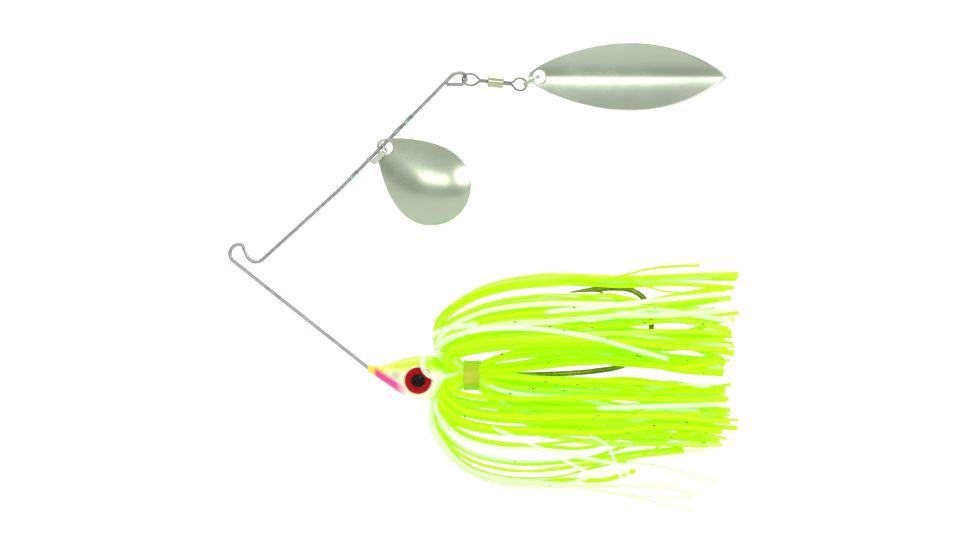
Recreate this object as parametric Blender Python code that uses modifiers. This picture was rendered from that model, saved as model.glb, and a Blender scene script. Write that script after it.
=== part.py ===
"""Spinnerbait: an open-bend wire frame carrying a painted lead head, an up-turned hook and
a folded silicone skirt below, and two metal blades on the upper arm.

Metres, +Z up. The nose points to -X, the wire and the hook lie in the plane Y = 0, and the
origin is the line tie, inside the open bend of the wire.
"""

import math

import bmesh
import bpy
from mathutils import Matrix, Vector

MM = 0.001

# ---- wire frame: circles (x, z, radius, turn) that the wire wraps, in millimetres --------
WIRE_RADIUS = 0.50
NOSE_ENTRY = (37.3, -32.95)
TIE_BACK = (1.17, -1.06, 2.55, -1)
TIE_TOP = (1.14, 0.37, 1.20, -1)
TIE_REST = (5.70, -0.54, 2.71, 1)
ARM_KINK = (18.10, 27.35, 15.0, 1)
LOOP_SHOULDER = (60.90, 44.92, 3.15, -1)
LOOP_END = (61.07, 46.48, 1.59, -1)
LOOP_TIP = (58.15, 44.89)
WIRE_ANCHOR = [
    (38.9, -0.15, -33.75),
    (41.2, -0.75, -34.20),
    (43.6, -1.45, -34.25),
    (45.2, -1.55, -34.20),
    (46.1, -0.90, -34.20),
    (46.2, 0.30, -34.20),
    (46.2, 1.60, -34.20),
]

# ---- what rides on the upper arm: distances along it from its slight kink ------------------
BEAD_RADIUS = 1.75
BEAD_BORE = 0.64
LOWER_BEAD_AT = 4.7
NEAR_BEAD_AT = 22.0
FAR_BEAD_AT = 25.8
CLEVIS_AT = 13.4
CLEVIS_HALF_SPAN = 2.70
CLEVIS_DEPTH = 4.20
CLEVIS_CORNER = 1.50
CLEVIS_THICKNESS = 0.40
CLEVIS_NECK = 0.80
CLEVIS_EAR = 1.15
CLEVIS_EAR_END = 0.25
CLEVIS_SHOULDER = [(0.55, 1.02), (1.05, 0.80)]
CLEVIS_HOLE = 0.74
CLEVIS_TURN = 68.0

# ---- blades ---------------------------------------------------------------------------------
BLADE_THICKNESS = 0.55
COLORADO_HOLE_AT = (41.05, -2.15, 27.60)
COLORADO_LENGTH = 29.6
COLORADO_HALF_WIDTH = 10.9
COLORADO_DISH = 3.2
COLORADO_NOSE = 2.95
COLORADO_HOLE = 1.75
COLORADO_DROOP = 40.0
WILLOW_HOLE_AT = (82.60, 0.0, 47.00)
WILLOW_LENGTH = 54.0
WILLOW_HALF_WIDTH = 9.4
WILLOW_DISH = 2.2
WILLOW_NOSE = 3.05
WILLOW_HOLE = 1.60

# ---- swivel: distances along its axis from the centre of the end loop's round side ----------
SWIVEL_DROOP = 5.5
SWIVEL_WIRE = 0.26
SHANK_GAP = 0.33
FLARE_RADIUS = 0.8
FRONT_EYE_END = 0.64
FRONT_EYE_RADIUS = 2.15
FRONT_EYE_TILT = 46.0
REAR_EYE_END = 18.14
REAR_EYE_RADIUS = 1.85
REAR_EYE_TILT = -24.0
BARREL_FRONT = 7.49
BARREL_REAR = 11.84
BARREL_RADIUS = 1.56
BARREL_WALL = 0.30
BARREL_MOUTH = 0.80
BARREL_EDGE = [(0.30, 0.0), (0.08, 0.10), (0.0, 0.35)]
FOOT_PLAY = 0.25
FOOT_RADIUS = 0.98
FOOT_THICKNESS = 0.50
RING_WIRE = 0.27
RING_PITCH = 0.60
RING_TURNS = 1.94
RING_START = 0.28
RING_STEPS = 36
RING_LEFT_AT = 17.27

# ---- head casting: (x, top, bottom, half width) ----------------------------------------------
HEAD_SECTIONS = [
    (36.1, -31.15, -33.05, 0.95),
    (37.8, -31.35, -34.10, 1.30),
    (40.0, -31.20, -35.65, 2.00),
    (42.3, -30.60, -37.20, 2.75),
    (44.7, -29.75, -38.85, 3.40),
    (47.5, -29.00, -40.15, 3.95),
    (50.9, -28.65, -40.75, 4.25),
    (53.8, -28.80, -40.35, 4.10),
    (55.6, -29.70, -39.10, 3.60),
    (56.9, -31.00, -37.30, 2.90),
]
COLLAR_CENTRE = -34.0
COLLAR_RADIUS = 2.05
COLLAR_START = 57.7
COLLAR_END = 67.7
KEEPER_RADIUS = 2.45
KEEPER_RISE = 0.3
KEEPER_END = 68.7
HEAD_RING_COUNT = 24
WIRE_PASSAGE_GAP = 0.15
SHANK_PASSAGE_GAP = 0.30
PASSAGE_RUN_OUT = 5.0
EYE_CHAMBER_HALF = 2.3
EYE_CENTRE = (49.7, -35.4)
EYE_RADIUS = 3.75
SOCKET_RADIUS = 3.95
SOCKET_FLOOR = 3.30
SOCKET_REACH = 6.0
EYE_DISC_THICKNESS = 0.35
EYE_DOME_HEIGHT = 0.85
EYE_SIDES = 28
PART_GAP = 0.12

# ---- hook -------------------------------------------------------------------------------------
HOOK_RADIUS = 0.75
HOOK_EYE_AT = (46.2, -34.2)
HOOK_EYE_RADIUS = 1.75
HOOK_EYE_WIRE = 0.62
HOOK_ROUTE = [
    (47.9, -34.20),
    (58.0, -34.05),
    (72.0, -34.00),
    (88.0, -33.60),
    (98.0, -32.80),
    (104.5, -31.60),
    (109.0, -29.10),
    (111.8, -25.60),
    (112.9, -21.40),
    (112.7, -17.20),
    (111.0, -13.30),
    (107.6, -10.95),
    (103.2, -10.35),
    (97.4, -10.70),
    (90.6, -11.50),
]
HOOK_POINT_LENGTH = 8.0
HOOK_POINT_RADIUS = 0.10
HOOK_POINT_FULLNESS = 0.75
BARB_ROOT = (98.4, -10.95)
BARB_TIP = (101.2, -13.10)
BARB_ROOT_RADIUS = 0.50
BARB_TIP_RADIUS = 0.06

# ---- skirt ------------------------------------------------------------------------------------
BAND_FRONT = 62.0
BAND_REAR = 66.4
BAND_INNER = 3.50
BAND_OUTER = 4.10
WAIST_INNER = 2.35
WAIST_OUTER = 3.35
WAIST_FRONT = 61.0
WAIST_REAR = 67.2
LOCK_RADIUS = 1.0
LOCK_ROOT_RADIUS = 0.38
LOCK_GROWN_AT = 0.5
LOCK_THINS_AT = 0.8
LOCK_TIP_LOSS = 0.25
FOLD_ROUTE = [
    (60.55, 0.000),
    (59.30, 0.020),
    (58.30, 0.070),
    (57.20, 0.160),
    (55.60, 0.270),
    (54.70, 0.390),
    (55.20, 0.520),
    (57.60, 0.680),
    (62.60, 0.835),
    (69.50, 0.950),
    (78.00, 1.000),
]
FOLD_ROOT = 2.95
TAIL_ROOT_X = 67.9
# each lock, from the top of the collar round to its bottom: its shoulder's y and height over
# the collar, then its tip's x, y and height over the collar
FOLDED_LOCKS = {
    "crest": (4.2, 26.2, 136.0, 5.0, 28.5),
    "inner_upper": (4.5, 14.0, 133.0, 5.5, 14.5),
    "upper": (10.5, 18.5, 137.5, 11.0, 19.5),
    "flank_upper": (12.8, 6.5, 135.0, 13.0, 9.0),
    "flank_lower": (12.8, -7.0, 135.0, 13.0, -6.0),
    "lower": (10.5, -19.0, 133.5, 11.0, -17.0),
    "inner_lower": (4.5, -14.5, 132.0, 6.0, -25.0),
    "keel": (4.2, -27.6, 129.5, 5.0, -33.5),
}
# each lock's root y and height over the collar, then its tip's x, y and height
TAIL_LOCKS = {
    "tail_upper": (2.1, 2.1, 136.0, 5.6, 5.0),
    "tail_side": (2.8, -0.8, 138.0, 8.5, -2.0),
    "tail_lower": (1.9, -2.2, 134.0, 5.5, -9.5),
}
TAIL_KEEL = (0.0, -3.0, 131.0, 0.0, -15.0)


# ---- materials --------------------------------------------------------------------------------
def principled(name, colour, metallic, roughness, alpha=1.0):
    material = bpy.data.materials.new(name)
    material.use_nodes = True
    shader = material.node_tree.nodes["Principled BSDF"]
    shader.inputs["Base Color"].default_value = (*colour, 1.0)
    shader.inputs["Metallic"].default_value = metallic
    shader.inputs["Roughness"].default_value = roughness
    shader.inputs["Alpha"].default_value = alpha
    return material


def make_materials():
    return {
        "wire": principled("stainless_wire", (0.42, 0.45, 0.42), 1.0, 0.30),
        "nickel": principled("nickel_plate", (0.62, 0.65, 0.58), 1.0, 0.28),
        "barrel": principled("swivel_barrel", (0.62, 0.64, 0.48), 1.0, 0.30),
        "bronze": principled("bronze_hook", (0.22, 0.20, 0.03), 1.0, 0.30),
        "paint": principled("head_paint", (0.72, 0.85, 0.10), 0.0, 0.25),
        "iris": principled("red_eye", (0.45, 0.01, 0.02), 0.0, 0.30),
        "clear": principled("clear_plastic", (0.92, 0.96, 0.94), 0.0, 0.08, 0.35),
        "band": principled("band_rubber", (0.55, 0.70, 0.05), 0.0, 0.45),
        "skirt": principled("skirt_silicone", (0.55, 1.00, 0.00), 0.0, 0.40),
    }


# ---- scene helpers ----------------------------------------------------------------------------
def clear_scene():
    for item in list(bpy.data.objects):
        bpy.data.objects.remove(item, do_unlink=True)


def collection(name):
    group = bpy.data.collections.new(name)
    bpy.context.scene.collection.children.link(group)
    return group


def add_object(name, data, group, material=None, parent=None):
    item = bpy.data.objects.new(name, data)
    group.objects.link(item)
    if material:
        data.materials.append(material)
    if parent:
        item.parent = parent
    return item


def add_empty(name, group, place, turn=(0, 0, 0), parent=None):
    """An empty on a joint axis; place in millimetres, turn in degrees."""
    item = add_object(name, None, group, parent=parent)
    item.location = Vector(place) * MM
    item.rotation_euler = [math.radians(angle) for angle in turn]
    item.empty_display_size = 0.003
    return item


def shade(data):
    data.shade_smooth()
    data.set_sharp_from_angle(angle=math.radians(40.0))


def mesh_from(bm, name):
    data = bpy.data.meshes.new(name)
    bm.to_mesh(data)
    bm.free()
    return data


def boolean(item, other, operation="DIFFERENCE"):
    step = item.modifiers.new(f"{operation.lower()}_{other.name}", "BOOLEAN")
    step.operation = operation
    step.solver = "EXACT"
    step.object = other


def make_cutter(item):
    item.hide_render = True
    item.display_type = "WIRE"
    return item


# ---- paths ------------------------------------------------------------------------------------
def tangent_heading(one, other):
    """Heading of the straight run that leaves circle one and meets circle other."""
    ax, az, a_radius, a_turn = one
    bx, bz, b_radius, b_turn = other
    span = math.hypot(bx - ax, bz - az)
    bearing = math.atan2(bz - az, bx - ax)
    return bearing - math.asin((b_radius * b_turn - a_radius * a_turn) / span)


def on_circle(circle, heading):
    """The point of a circle (x, z, radius, turn) where the wire has this heading."""
    x, z, radius, turn = circle
    return x + turn * radius * math.sin(heading), z - turn * radius * math.cos(heading)


def wrapped_path(start, circles, end, step=15.0):
    """The line that a taut wire takes from start to end round circles (x, z, radius, turn).

    Between two circles it is their common tangent; a turn of 1 is anticlockwise, -1 clockwise.
    """
    rounds = [(*start, 0.0, 1), *circles, (*end, 0.0, 1)]
    headings = [tangent_heading(one, other) for one, other in zip(rounds, rounds[1:])]
    points = [start]
    for circle, before, after in zip(circles, headings, headings[1:]):
        turn = circle[3]
        sweep = (after - before) * turn % (2 * math.pi)
        count = max(2, math.ceil(math.degrees(sweep) / step))
        for i in range(count + 1):
            points.append(on_circle(circle, before + turn * sweep * i / count))
    points.append(end)
    return points


def smooth_route(points, per_span):
    """Catmull-Rom curve through points, with per_span steps in each span."""
    knots = [Vector(p) for p in points]
    knots = [2 * knots[0] - knots[1], *knots, 2 * knots[-1] - knots[-2]]
    route = []
    for i in range(1, len(knots) - 2):
        before, here, there, after = knots[i - 1 : i + 3]
        for k in range(per_span):
            t = k / per_span
            route.append(
                0.5
                * (
                    2 * here
                    + (there - before) * t
                    + (2 * before - 5 * here + 4 * there - after) * t**2
                    + (3 * here - before - 3 * there + after) * t**3
                )
            )
    route.append(knots[-2])
    return route


def in_plane(points):
    """Points (x, z) set on the plane Y = 0."""
    return [Vector((x, 0.0, z)) for x, z in points]


def tube_curve(name, points, radius, sides=2, scale=None, cyclic=False):
    """A round bar along points in millimetres; scale gives each point's share of the radius."""
    data = bpy.data.curves.new(name, "CURVE")
    data.dimensions = "3D"
    data.bevel_depth = radius * MM
    data.bevel_resolution = sides
    data.use_fill_caps = not cyclic
    spline = data.splines.new("POLY")
    spline.points.add(len(points) - 1)
    for i, point in enumerate(points):
        spline.points[i].co = (*(Vector(point) * MM), 1.0)
        spline.points[i].radius = scale[i] if scale else 1.0
    spline.use_cyclic_u = cyclic
    spline.use_smooth = True
    return data


def mesh_of_curve(curve, name, group):
    """The closed mesh of a curve object, which is removed."""
    bpy.context.view_layer.update()
    graph = bpy.context.evaluated_depsgraph_get()
    data = bpy.data.meshes.new_from_object(curve.evaluated_get(graph))
    bm = bmesh.new()
    bm.from_mesh(data)
    bmesh.ops.remove_doubles(bm, verts=bm.verts, dist=1e-6)
    bm.to_mesh(data)
    bm.free()
    item = add_object(name, data, group)
    item.matrix_world = curve.matrix_world
    bpy.data.objects.remove(curve, do_unlink=True)
    return item


def solid_tube(name, points, radius, group, scale=None, cyclic=False):
    curve = add_object(name + "_route", tube_curve(name, points, radius, 2, scale, cyclic), group)
    return mesh_of_curve(curve, name, group)


def cylinder(name, group, radius, low, high, axis="Z", segments=32):
    """A solid cylinder from low to high along one axis, in millimetres."""
    bm = bmesh.new()
    bmesh.ops.create_cone(
        bm,
        cap_ends=True,
        segments=segments,
        radius1=radius * MM,
        radius2=radius * MM,
        depth=(high - low) * MM,
    )
    bmesh.ops.translate(bm, verts=bm.verts, vec=(0, 0, (high + low) / 2 * MM))
    turn = {"X": Matrix.Rotation(math.pi / 2, 3, "Y"), "Y": Matrix.Rotation(-math.pi / 2, 3, "X")}
    if axis in turn:
        bmesh.ops.rotate(bm, verts=bm.verts, matrix=turn[axis])
    data = mesh_from(bm, name)
    shade(data)
    return add_object(name, data, group)


def lathe(name, profile, steps, group, material=None, closed=True, parent=None):
    """A solid turned about the object's Z axis from profile (radius, height)."""
    bm = bmesh.new()
    corners = [bm.verts.new((r * MM, 0.0, h * MM)) for r, h in profile]
    pairs = list(zip(corners, corners[1:]))
    if closed:
        pairs.append((corners[-1], corners[0]))
    for pair in pairs:
        bm.edges.new(pair)
    item = add_object(name, mesh_from(bm, name), group, material, parent)
    screw = item.modifiers.new("turn", "SCREW")
    screw.steps = steps
    screw.render_steps = steps
    screw.use_merge_vertices = True
    screw.merge_threshold = 0.00001
    screw.use_smooth_shade = True
    return item


def arc(centre, radius, first, last, count):
    """count + 1 points on a circle, angles in degrees from the first axis."""
    angles = [math.radians(first + (last - first) * i / count) for i in range(count + 1)]
    return [(centre[0] + radius * math.cos(a), centre[1] + radius * math.sin(a)) for a in angles]


# ---- wire frame -------------------------------------------------------------------------------
def arm_angle():
    """Rise of the upper arm's straight part, in radians."""
    return tangent_heading(ARM_KINK, LOOP_SHOULDER)


def arm_tilt():
    """The turn about Y, in degrees, that lays an object's Z axis along the upper arm."""
    return 90.0 - math.degrees(arm_angle())


def on_arm(distance):
    """The point on the upper arm's straight axis, distance past its kink."""
    x, z = on_circle(ARM_KINK, arm_angle())
    rise = Vector((math.cos(arm_angle()), 0.0, math.sin(arm_angle())))
    return Vector((x, 0.0, z)) + rise * distance


def build_wire(group, materials):
    circles = [TIE_BACK, TIE_TOP, TIE_REST, ARM_KINK, LOOP_SHOULDER, LOOP_END]
    bends = in_plane(wrapped_path(NOSE_ENTRY, circles, LOOP_TIP))
    anchor = smooth_route([bends[0], *WIRE_ANCHOR], 3)
    route = [*reversed(anchor), *bends[1:]]
    data = tube_curve("wire_frame", route, WIRE_RADIUS)
    return add_object("wire_frame", data, group, materials["wire"])


# ---- head -------------------------------------------------------------------------------------
def head_rings():
    """(x, centre height, half height, half width) of each ring, nose to keeper."""
    rings = []
    for x, top, bottom, half_width in HEAD_SECTIONS:
        rings.append((x, (top + bottom) / 2, (top - bottom) / 2, half_width))
    smooth = [tuple(knot) for knot in smooth_route_4(rings)]
    for x, radius in (
        (COLLAR_START, COLLAR_RADIUS),
        (COLLAR_END, COLLAR_RADIUS),
        (COLLAR_END + KEEPER_RISE, KEEPER_RADIUS),
        (KEEPER_END, COLLAR_RADIUS),
    ):
        smooth.append((x, COLLAR_CENTRE, radius, radius))
    return smooth


def smooth_route_4(rows):
    """Catmull-Rom through rows of four numbers, one step between neighbours."""
    first = smooth_route([row[:3] for row in rows], 2)
    second = smooth_route([(row[3], 0.0, 0.0) for row in rows], 2)
    return [(*a, b[0]) for a, b in zip(first, second)]


def build_head(group, cutters, materials):
    bm = bmesh.new()
    rings = []
    for x, centre, half_height, half_width in head_rings():
        ring = []
        for i in range(HEAD_RING_COUNT):
            angle = 2 * math.pi * i / HEAD_RING_COUNT
            y = half_width * math.sin(angle)
            z = centre + half_height * math.cos(angle)
            ring.append(bm.verts.new(Vector((x, y, z)) * MM))
        rings.append(ring)
    for near, far in zip(rings, rings[1:]):
        for i in range(HEAD_RING_COUNT):
            k = (i + 1) % HEAD_RING_COUNT
            bm.faces.new((near[i], near[k], far[k], far[i]))
    bm.faces.new(list(reversed(rings[0])))
    bm.faces.new(rings[-1])
    bmesh.ops.recalc_face_normals(bm, faces=bm.faces)
    data = mesh_from(bm, "head")
    shade(data)
    head = add_object("head", data, group, materials["paint"])
    for cutter in head_cutters(cutters):
        boolean(head, cutter)
    return head


def head_cutters(cutters):
    """The moulded-in passages for the wire and the hook, and the two eye sockets."""
    start = Vector((NOSE_ENTRY[0], 0.0, NOSE_ENTRY[1]))
    heading = tangent_heading((*NOSE_ENTRY, 0.0, 1), TIE_BACK)
    mouth = start + Vector((math.cos(heading), 0.0, math.sin(heading))) * PASSAGE_RUN_OUT
    inner = smooth_route([start, *WIRE_ANCHOR[:5]], 3)
    wire = solid_tube("wire_passage", [mouth, *inner], WIRE_RADIUS + WIRE_PASSAGE_GAP, cutters)
    shank = solid_tube(
        "shank_passage",
        smooth_route(in_plane([HOOK_EYE_AT, *HOOK_ROUTE[1:3]]), 4),
        HOOK_RADIUS + SHANK_PASSAGE_GAP,
        cutters,
    )
    eye_reach = HOOK_EYE_RADIUS + HOOK_EYE_WIRE + SHANK_PASSAGE_GAP
    chamber = cylinder("eye_chamber", cutters, eye_reach, -EYE_CHAMBER_HALF, EYE_CHAMBER_HALF, "Y")
    chamber.location = Vector((HOOK_EYE_AT[0], 0.0, HOOK_EYE_AT[1])) * MM
    sockets = []
    for side, name in ((-1, "left"), (1, "right")):
        ends = sorted((side * SOCKET_FLOOR, side * SOCKET_REACH))
        socket = cylinder(f"{name}_socket", cutters, SOCKET_RADIUS, *ends, "Y", 40)
        socket.location = Vector((EYE_CENTRE[0], 0.0, EYE_CENTRE[1])) * MM
        sockets.append(socket)
    return [make_cutter(item) for item in (wire, shank, chamber, *sockets)]


def build_eyes(group, materials):
    """A printed disc in each socket, under a clear domed cap."""
    for side, name in ((-1, "left"), (1, "right")):
        seat = add_empty(
            f"{name}_eye_seat",
            group,
            (EYE_CENTRE[0], side * (SOCKET_FLOOR + PART_GAP), EYE_CENTRE[1]),
            (-90 * side, 0, 0),
        )
        lathe(
            f"{name}_eye_disc",
            [(0, EYE_DISC_THICKNESS), (EYE_RADIUS, EYE_DISC_THICKNESS), (EYE_RADIUS, 0), (0, 0)],
            EYE_SIDES,
            group,
            materials["iris"],
            closed=False,
            parent=seat,
        )
        base = EYE_DISC_THICKNESS + PART_GAP
        curve = (EYE_RADIUS**2 + EYE_DOME_HEIGHT**2) / (2 * EYE_DOME_HEIGHT)
        edge = math.degrees(math.acos(EYE_RADIUS / curve))
        cap = arc((0.0, base + EYE_DOME_HEIGHT - curve), curve, 90, edge, 4)
        cap[0] = (0.0, cap[0][1])
        lathe(
            f"{name}_eye_dome",
            [*cap, (0, base)],
            EYE_SIDES,
            group,
            materials["clear"],
            closed=False,
            parent=seat,
        )


# ---- hook -------------------------------------------------------------------------------------
def build_hook(group, cutters, materials):
    route = smooth_route(in_plane(HOOK_ROUTE), 3)
    taper = HOOK_POINT_RADIUS / HOOK_RADIUS
    scale = []
    for point in route:
        share = min(1.0, (point - route[-1]).length / HOOK_POINT_LENGTH)
        scale.append(taper + (1.0 - taper) * share**HOOK_POINT_FULLNESS)
    hook = solid_tube("hook", route, HOOK_RADIUS, group, scale)
    shade(hook.data)
    hook.data.materials.append(materials["bronze"])
    ring = [
        Vector((HOOK_EYE_AT[0] + x, 0.0, HOOK_EYE_AT[1] + z))
        for x, z in arc((0, 0), HOOK_EYE_RADIUS, 0, 360, 20)[:-1]
    ]
    eye = solid_tube("hook_eye", ring, HOOK_EYE_WIRE, cutters, cyclic=True)
    barb = build_barb(cutters)
    for item in (eye, barb):
        boolean(hook, make_cutter(item), "UNION")
    return hook


def build_barb(cutters):
    """A small flat cone raised from the point, its tip towards the bend."""
    root = Vector((BARB_ROOT[0], 0.0, BARB_ROOT[1]))
    tip = Vector((BARB_TIP[0], 0.0, BARB_TIP[1]))
    bm = bmesh.new()
    bmesh.ops.create_cone(
        bm,
        cap_ends=True,
        segments=10,
        radius1=BARB_ROOT_RADIUS * MM,
        radius2=BARB_TIP_RADIUS * MM,
        depth=(tip - root).length * MM,
    )
    turn = (tip - root).to_track_quat("Z", "Y").to_matrix()
    bmesh.ops.rotate(bm, verts=bm.verts, matrix=turn)
    bmesh.ops.translate(bm, verts=bm.verts, vec=(root + tip) / 2 * MM)
    return add_object("barb", mesh_from(bm, "barb"), cutters)


# ---- beads, clevis and front blade ----------------------------------------------------------
def build_bead(name, distance, group, materials):
    seat = add_empty(f"{name}_seat", group, on_arm(distance), (0, arm_tilt(), 0))
    reach = math.degrees(math.acos(BEAD_BORE / BEAD_RADIUS))
    outer = arc((0, 0), BEAD_RADIUS, reach, -reach, 8)
    return lathe(name, outer, 16, group, materials["clear"], parent=seat)


def clevis_route():
    """(depth, height, half width) along the bent strip, from one ear's end to the other's."""
    ear = []
    for i in range(5):
        depth = -CLEVIS_EAR * math.cos(math.pi / 2 * i / 4)
        ear.append((depth, max(CLEVIS_EAR_END, math.sqrt(CLEVIS_EAR**2 - depth**2))))
    neck = CLEVIS_DEPTH - CLEVIS_CORNER
    ear += [*CLEVIS_SHOULDER, (neck, CLEVIS_NECK)]
    leg = [(depth, CLEVIS_HALF_SPAN, half) for depth, half in ear]
    corner = arc((neck, CLEVIS_HALF_SPAN - CLEVIS_CORNER), CLEVIS_CORNER, 90, 0, 4)
    leg += [(depth, height, CLEVIS_NECK) for depth, height in corner[1:]]
    return leg + [(depth, -height, half) for depth, height, half in reversed(leg)]


def build_clevis(group, cutters, materials, seat):
    bm = bmesh.new()
    rows = []
    for depth, height, half in clevis_route():
        rows.append([bm.verts.new(Vector((depth, y, height)) * MM) for y in (-half, 0.0, half)])
    for near, far in zip(rows, rows[1:]):
        for i in range(2):
            bm.faces.new((near[i], near[i + 1], far[i + 1], far[i]))
    bmesh.ops.recalc_face_normals(bm, faces=bm.faces)
    data = mesh_from(bm, "clevis")
    shade(data)
    clevis = add_object("clevis", data, group, materials["nickel"], seat)
    clevis.rotation_euler = (0, 0, -math.radians(CLEVIS_TURN))
    shell = clevis.modifiers.new("sheet", "SOLIDIFY")
    shell.thickness = CLEVIS_THICKNESS * MM
    shell.offset = 0.0
    shell.use_even_offset = True
    bore = cylinder("clevis_bore", cutters, CLEVIS_HOLE, -4.0, 4.0, "Z", 24)
    bore.parent = seat
    boolean(clevis, make_cutter(bore))
    return clevis


def blade_mesh(name, length, half_width, nose, dish, outline, crown):
    """A dished blade along +X, bulging towards -Y, with its hole's centre at the origin.

    outline gives the half width and crown the rise across it, both as shares, and nose is the
    distance from the tip to the hole's centre.
    """
    bm = bmesh.new()
    bmesh.ops.create_grid(bm, x_segments=24, y_segments=10, size=1.0)
    for vert in bm.verts:
        along = (1 - math.cos(math.pi * (vert.co.x + 1) / 2)) / 2
        across = vert.co.y
        share = outline(along)
        rise = dish * share**1.6 * crown(across)
        vert.co = Vector((along * length - nose, -rise, across * share * half_width)) * MM
    bmesh.ops.remove_doubles(bm, verts=bm.verts, dist=2e-6)
    bmesh.ops.recalc_face_normals(bm, faces=bm.faces)
    data = mesh_from(bm, name)
    shade(data)
    return data


def colorado_outline(along):
    """A teardrop: a circle at the tail that tapers to a blunt nose."""
    return max(0.0, math.sin(math.pi * along**1.516)) ** 0.47


def willow_outline(along):
    """A leaf: rounder at the nose than at the tail."""
    return max(0.0, math.sin(math.pi * along**1.045)) ** (0.58 + 0.20 * along)


def build_blade(name, data, hole_radius, group, cutters, materials, seat):
    blade = add_object(name, data, group, materials["nickel"], seat)
    sheet = blade.modifiers.new("sheet", "SOLIDIFY")
    sheet.thickness = BLADE_THICKNESS * MM
    sheet.offset = 0.0
    hole = cylinder(f"{name}_hole", cutters, hole_radius, -4.0, 4.0, "Y", 32)
    hole.parent = seat
    boolean(blade, make_cutter(hole))
    return blade


def build_colorado(group, cutters, materials):
    seat = add_empty("colorado_seat", group, COLORADO_HOLE_AT, (0, COLORADO_DROOP, 0))
    data = blade_mesh(
        "colorado_blade",
        COLORADO_LENGTH,
        COLORADO_HALF_WIDTH,
        COLORADO_NOSE,
        COLORADO_DISH,
        colorado_outline,
        lambda across: 1 - across**2,
    )
    return build_blade("colorado_blade", data, COLORADO_HOLE, group, cutters, materials, seat)


def build_willow(group, cutters, materials):
    seat = add_empty("willow_seat", group, WILLOW_HOLE_AT)
    data = blade_mesh(
        "willow_blade",
        WILLOW_LENGTH,
        WILLOW_HALF_WIDTH,
        WILLOW_NOSE,
        -WILLOW_DISH,
        willow_outline,
        lambda across: 1 - abs(across) ** 1.35,
    )
    return build_blade("willow_blade", data, WILLOW_HOLE, group, cutters, materials, seat)


# ---- swivel and split ring -------------------------------------------------------------------
def eye_route(end, radius, shank_end):
    """Both shanks and the loop of one eye, in the plane of (along, across).

    end is where the loop's far side lies and shank_end where the shanks stop in the barrel.
    """
    side = 1 if end > shank_end else -1
    centre = abs(end - shank_end) - radius
    flare = centre - math.sqrt((radius + FLARE_RADIUS + 0.05) ** 2 - (SHANK_GAP + FLARE_RADIUS) ** 2)
    rise = SHANK_GAP + FLARE_RADIUS
    points = wrapped_path(
        (0.0, SHANK_GAP),
        [
            (flare, rise, FLARE_RADIUS, 1),
            (centre, 0.0, radius, -1),
            (flare, -rise, FLARE_RADIUS, 1),
        ],
        (0.0, -SHANK_GAP),
        18.0,
    )
    return [(shank_end + side * along, 0.0, across) for along, across in points]


def build_swivel_eye(name, end, radius, tilt, foot_at, group, cutters, materials, pivot):
    seat = add_empty(f"{name}_seat", group, (0, 0, 0), (tilt, 0, 0), pivot)
    eye = solid_tube(name, eye_route(end, radius, foot_at), SWIVEL_WIRE, group)
    shade(eye.data)
    eye.data.materials.append(materials["wire"])
    eye.parent = seat
    half = FOOT_THICKNESS / 2
    foot = cylinder(f"{name}_foot", cutters, FOOT_RADIUS, foot_at - half, foot_at + half, "X", 20)
    foot.parent = seat
    boolean(eye, make_cutter(foot), "UNION")
    return eye


def barrel_profile():
    """Closed section of the barrel, (radius, distance), from the front mouth round."""
    inner = BARREL_RADIUS - BARREL_WALL
    front, rear = BARREL_FRONT, BARREL_REAR
    rear_edge = [(BARREL_RADIUS - inward, rear - back) for inward, back in BARREL_EDGE]
    front_edge = [(BARREL_RADIUS - inward, front + back) for inward, back in reversed(BARREL_EDGE)]
    outside = [(BARREL_MOUTH, rear), *rear_edge, *front_edge, (BARREL_MOUTH, front)]
    inside = [
        (BARREL_MOUTH, front + BARREL_WALL),
        (inner, front + BARREL_WALL),
        (inner, rear - BARREL_WALL),
        (BARREL_MOUTH, rear - BARREL_WALL),
    ]
    return outside + inside


def on_swivel(distance):
    """The point on the swivel's axis, distance from the centre of the end loop's round side."""
    angle = math.radians(SWIVEL_DROOP)
    direction = Vector((math.cos(angle), 0.0, -math.sin(angle)))
    return Vector((LOOP_END[0], 0.0, LOOP_END[1])) + direction * distance


def build_swivel(group, cutters, materials):
    pivot = add_empty("swivel_pivot", group, on_swivel(0.0), (0, SWIVEL_DROOP, 0))
    inset = BARREL_WALL + FOOT_PLAY + FOOT_THICKNESS / 2
    build_swivel_eye(
        "swivel_front_eye",
        FRONT_EYE_END,
        FRONT_EYE_RADIUS,
        FRONT_EYE_TILT,
        BARREL_FRONT + inset,
        group,
        cutters,
        materials,
        pivot,
    )
    build_swivel_eye(
        "swivel_rear_eye",
        REAR_EYE_END,
        REAR_EYE_RADIUS,
        REAR_EYE_TILT,
        BARREL_REAR - inset,
        group,
        cutters,
        materials,
        pivot,
    )
    barrel = lathe("swivel_barrel", barrel_profile(), 20, group, materials["barrel"], parent=pivot)
    barrel.rotation_euler = (0, math.pi / 2, 0)
    return pivot


def build_split_ring(group, materials):
    """Two turns of wire from the rear eye to the willow blade's hole."""
    left = on_swivel(RING_LEFT_AT)
    right = Vector(WILLOW_HOLE_AT)
    across = (right - left).normalized()
    radius = (right - left).length / 2
    side = Vector((0.0, 1.0, 0.0))
    normal = across.cross(side)
    route = []
    for i in range(RING_STEPS + 1):
        share = i / RING_STEPS
        angle = 2 * math.pi * (RING_START + RING_TURNS * share)
        rise = RING_PITCH * RING_TURNS * (share - 0.5)
        spoke = across * math.cos(angle) + side * math.sin(angle)
        route.append((right - left) / 2 + spoke * radius + normal * rise)
    ring = add_object(
        "split_ring", tube_curve("split_ring", route, RING_WIRE), group, materials["wire"]
    )
    ring.location = left * MM
    return ring


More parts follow.
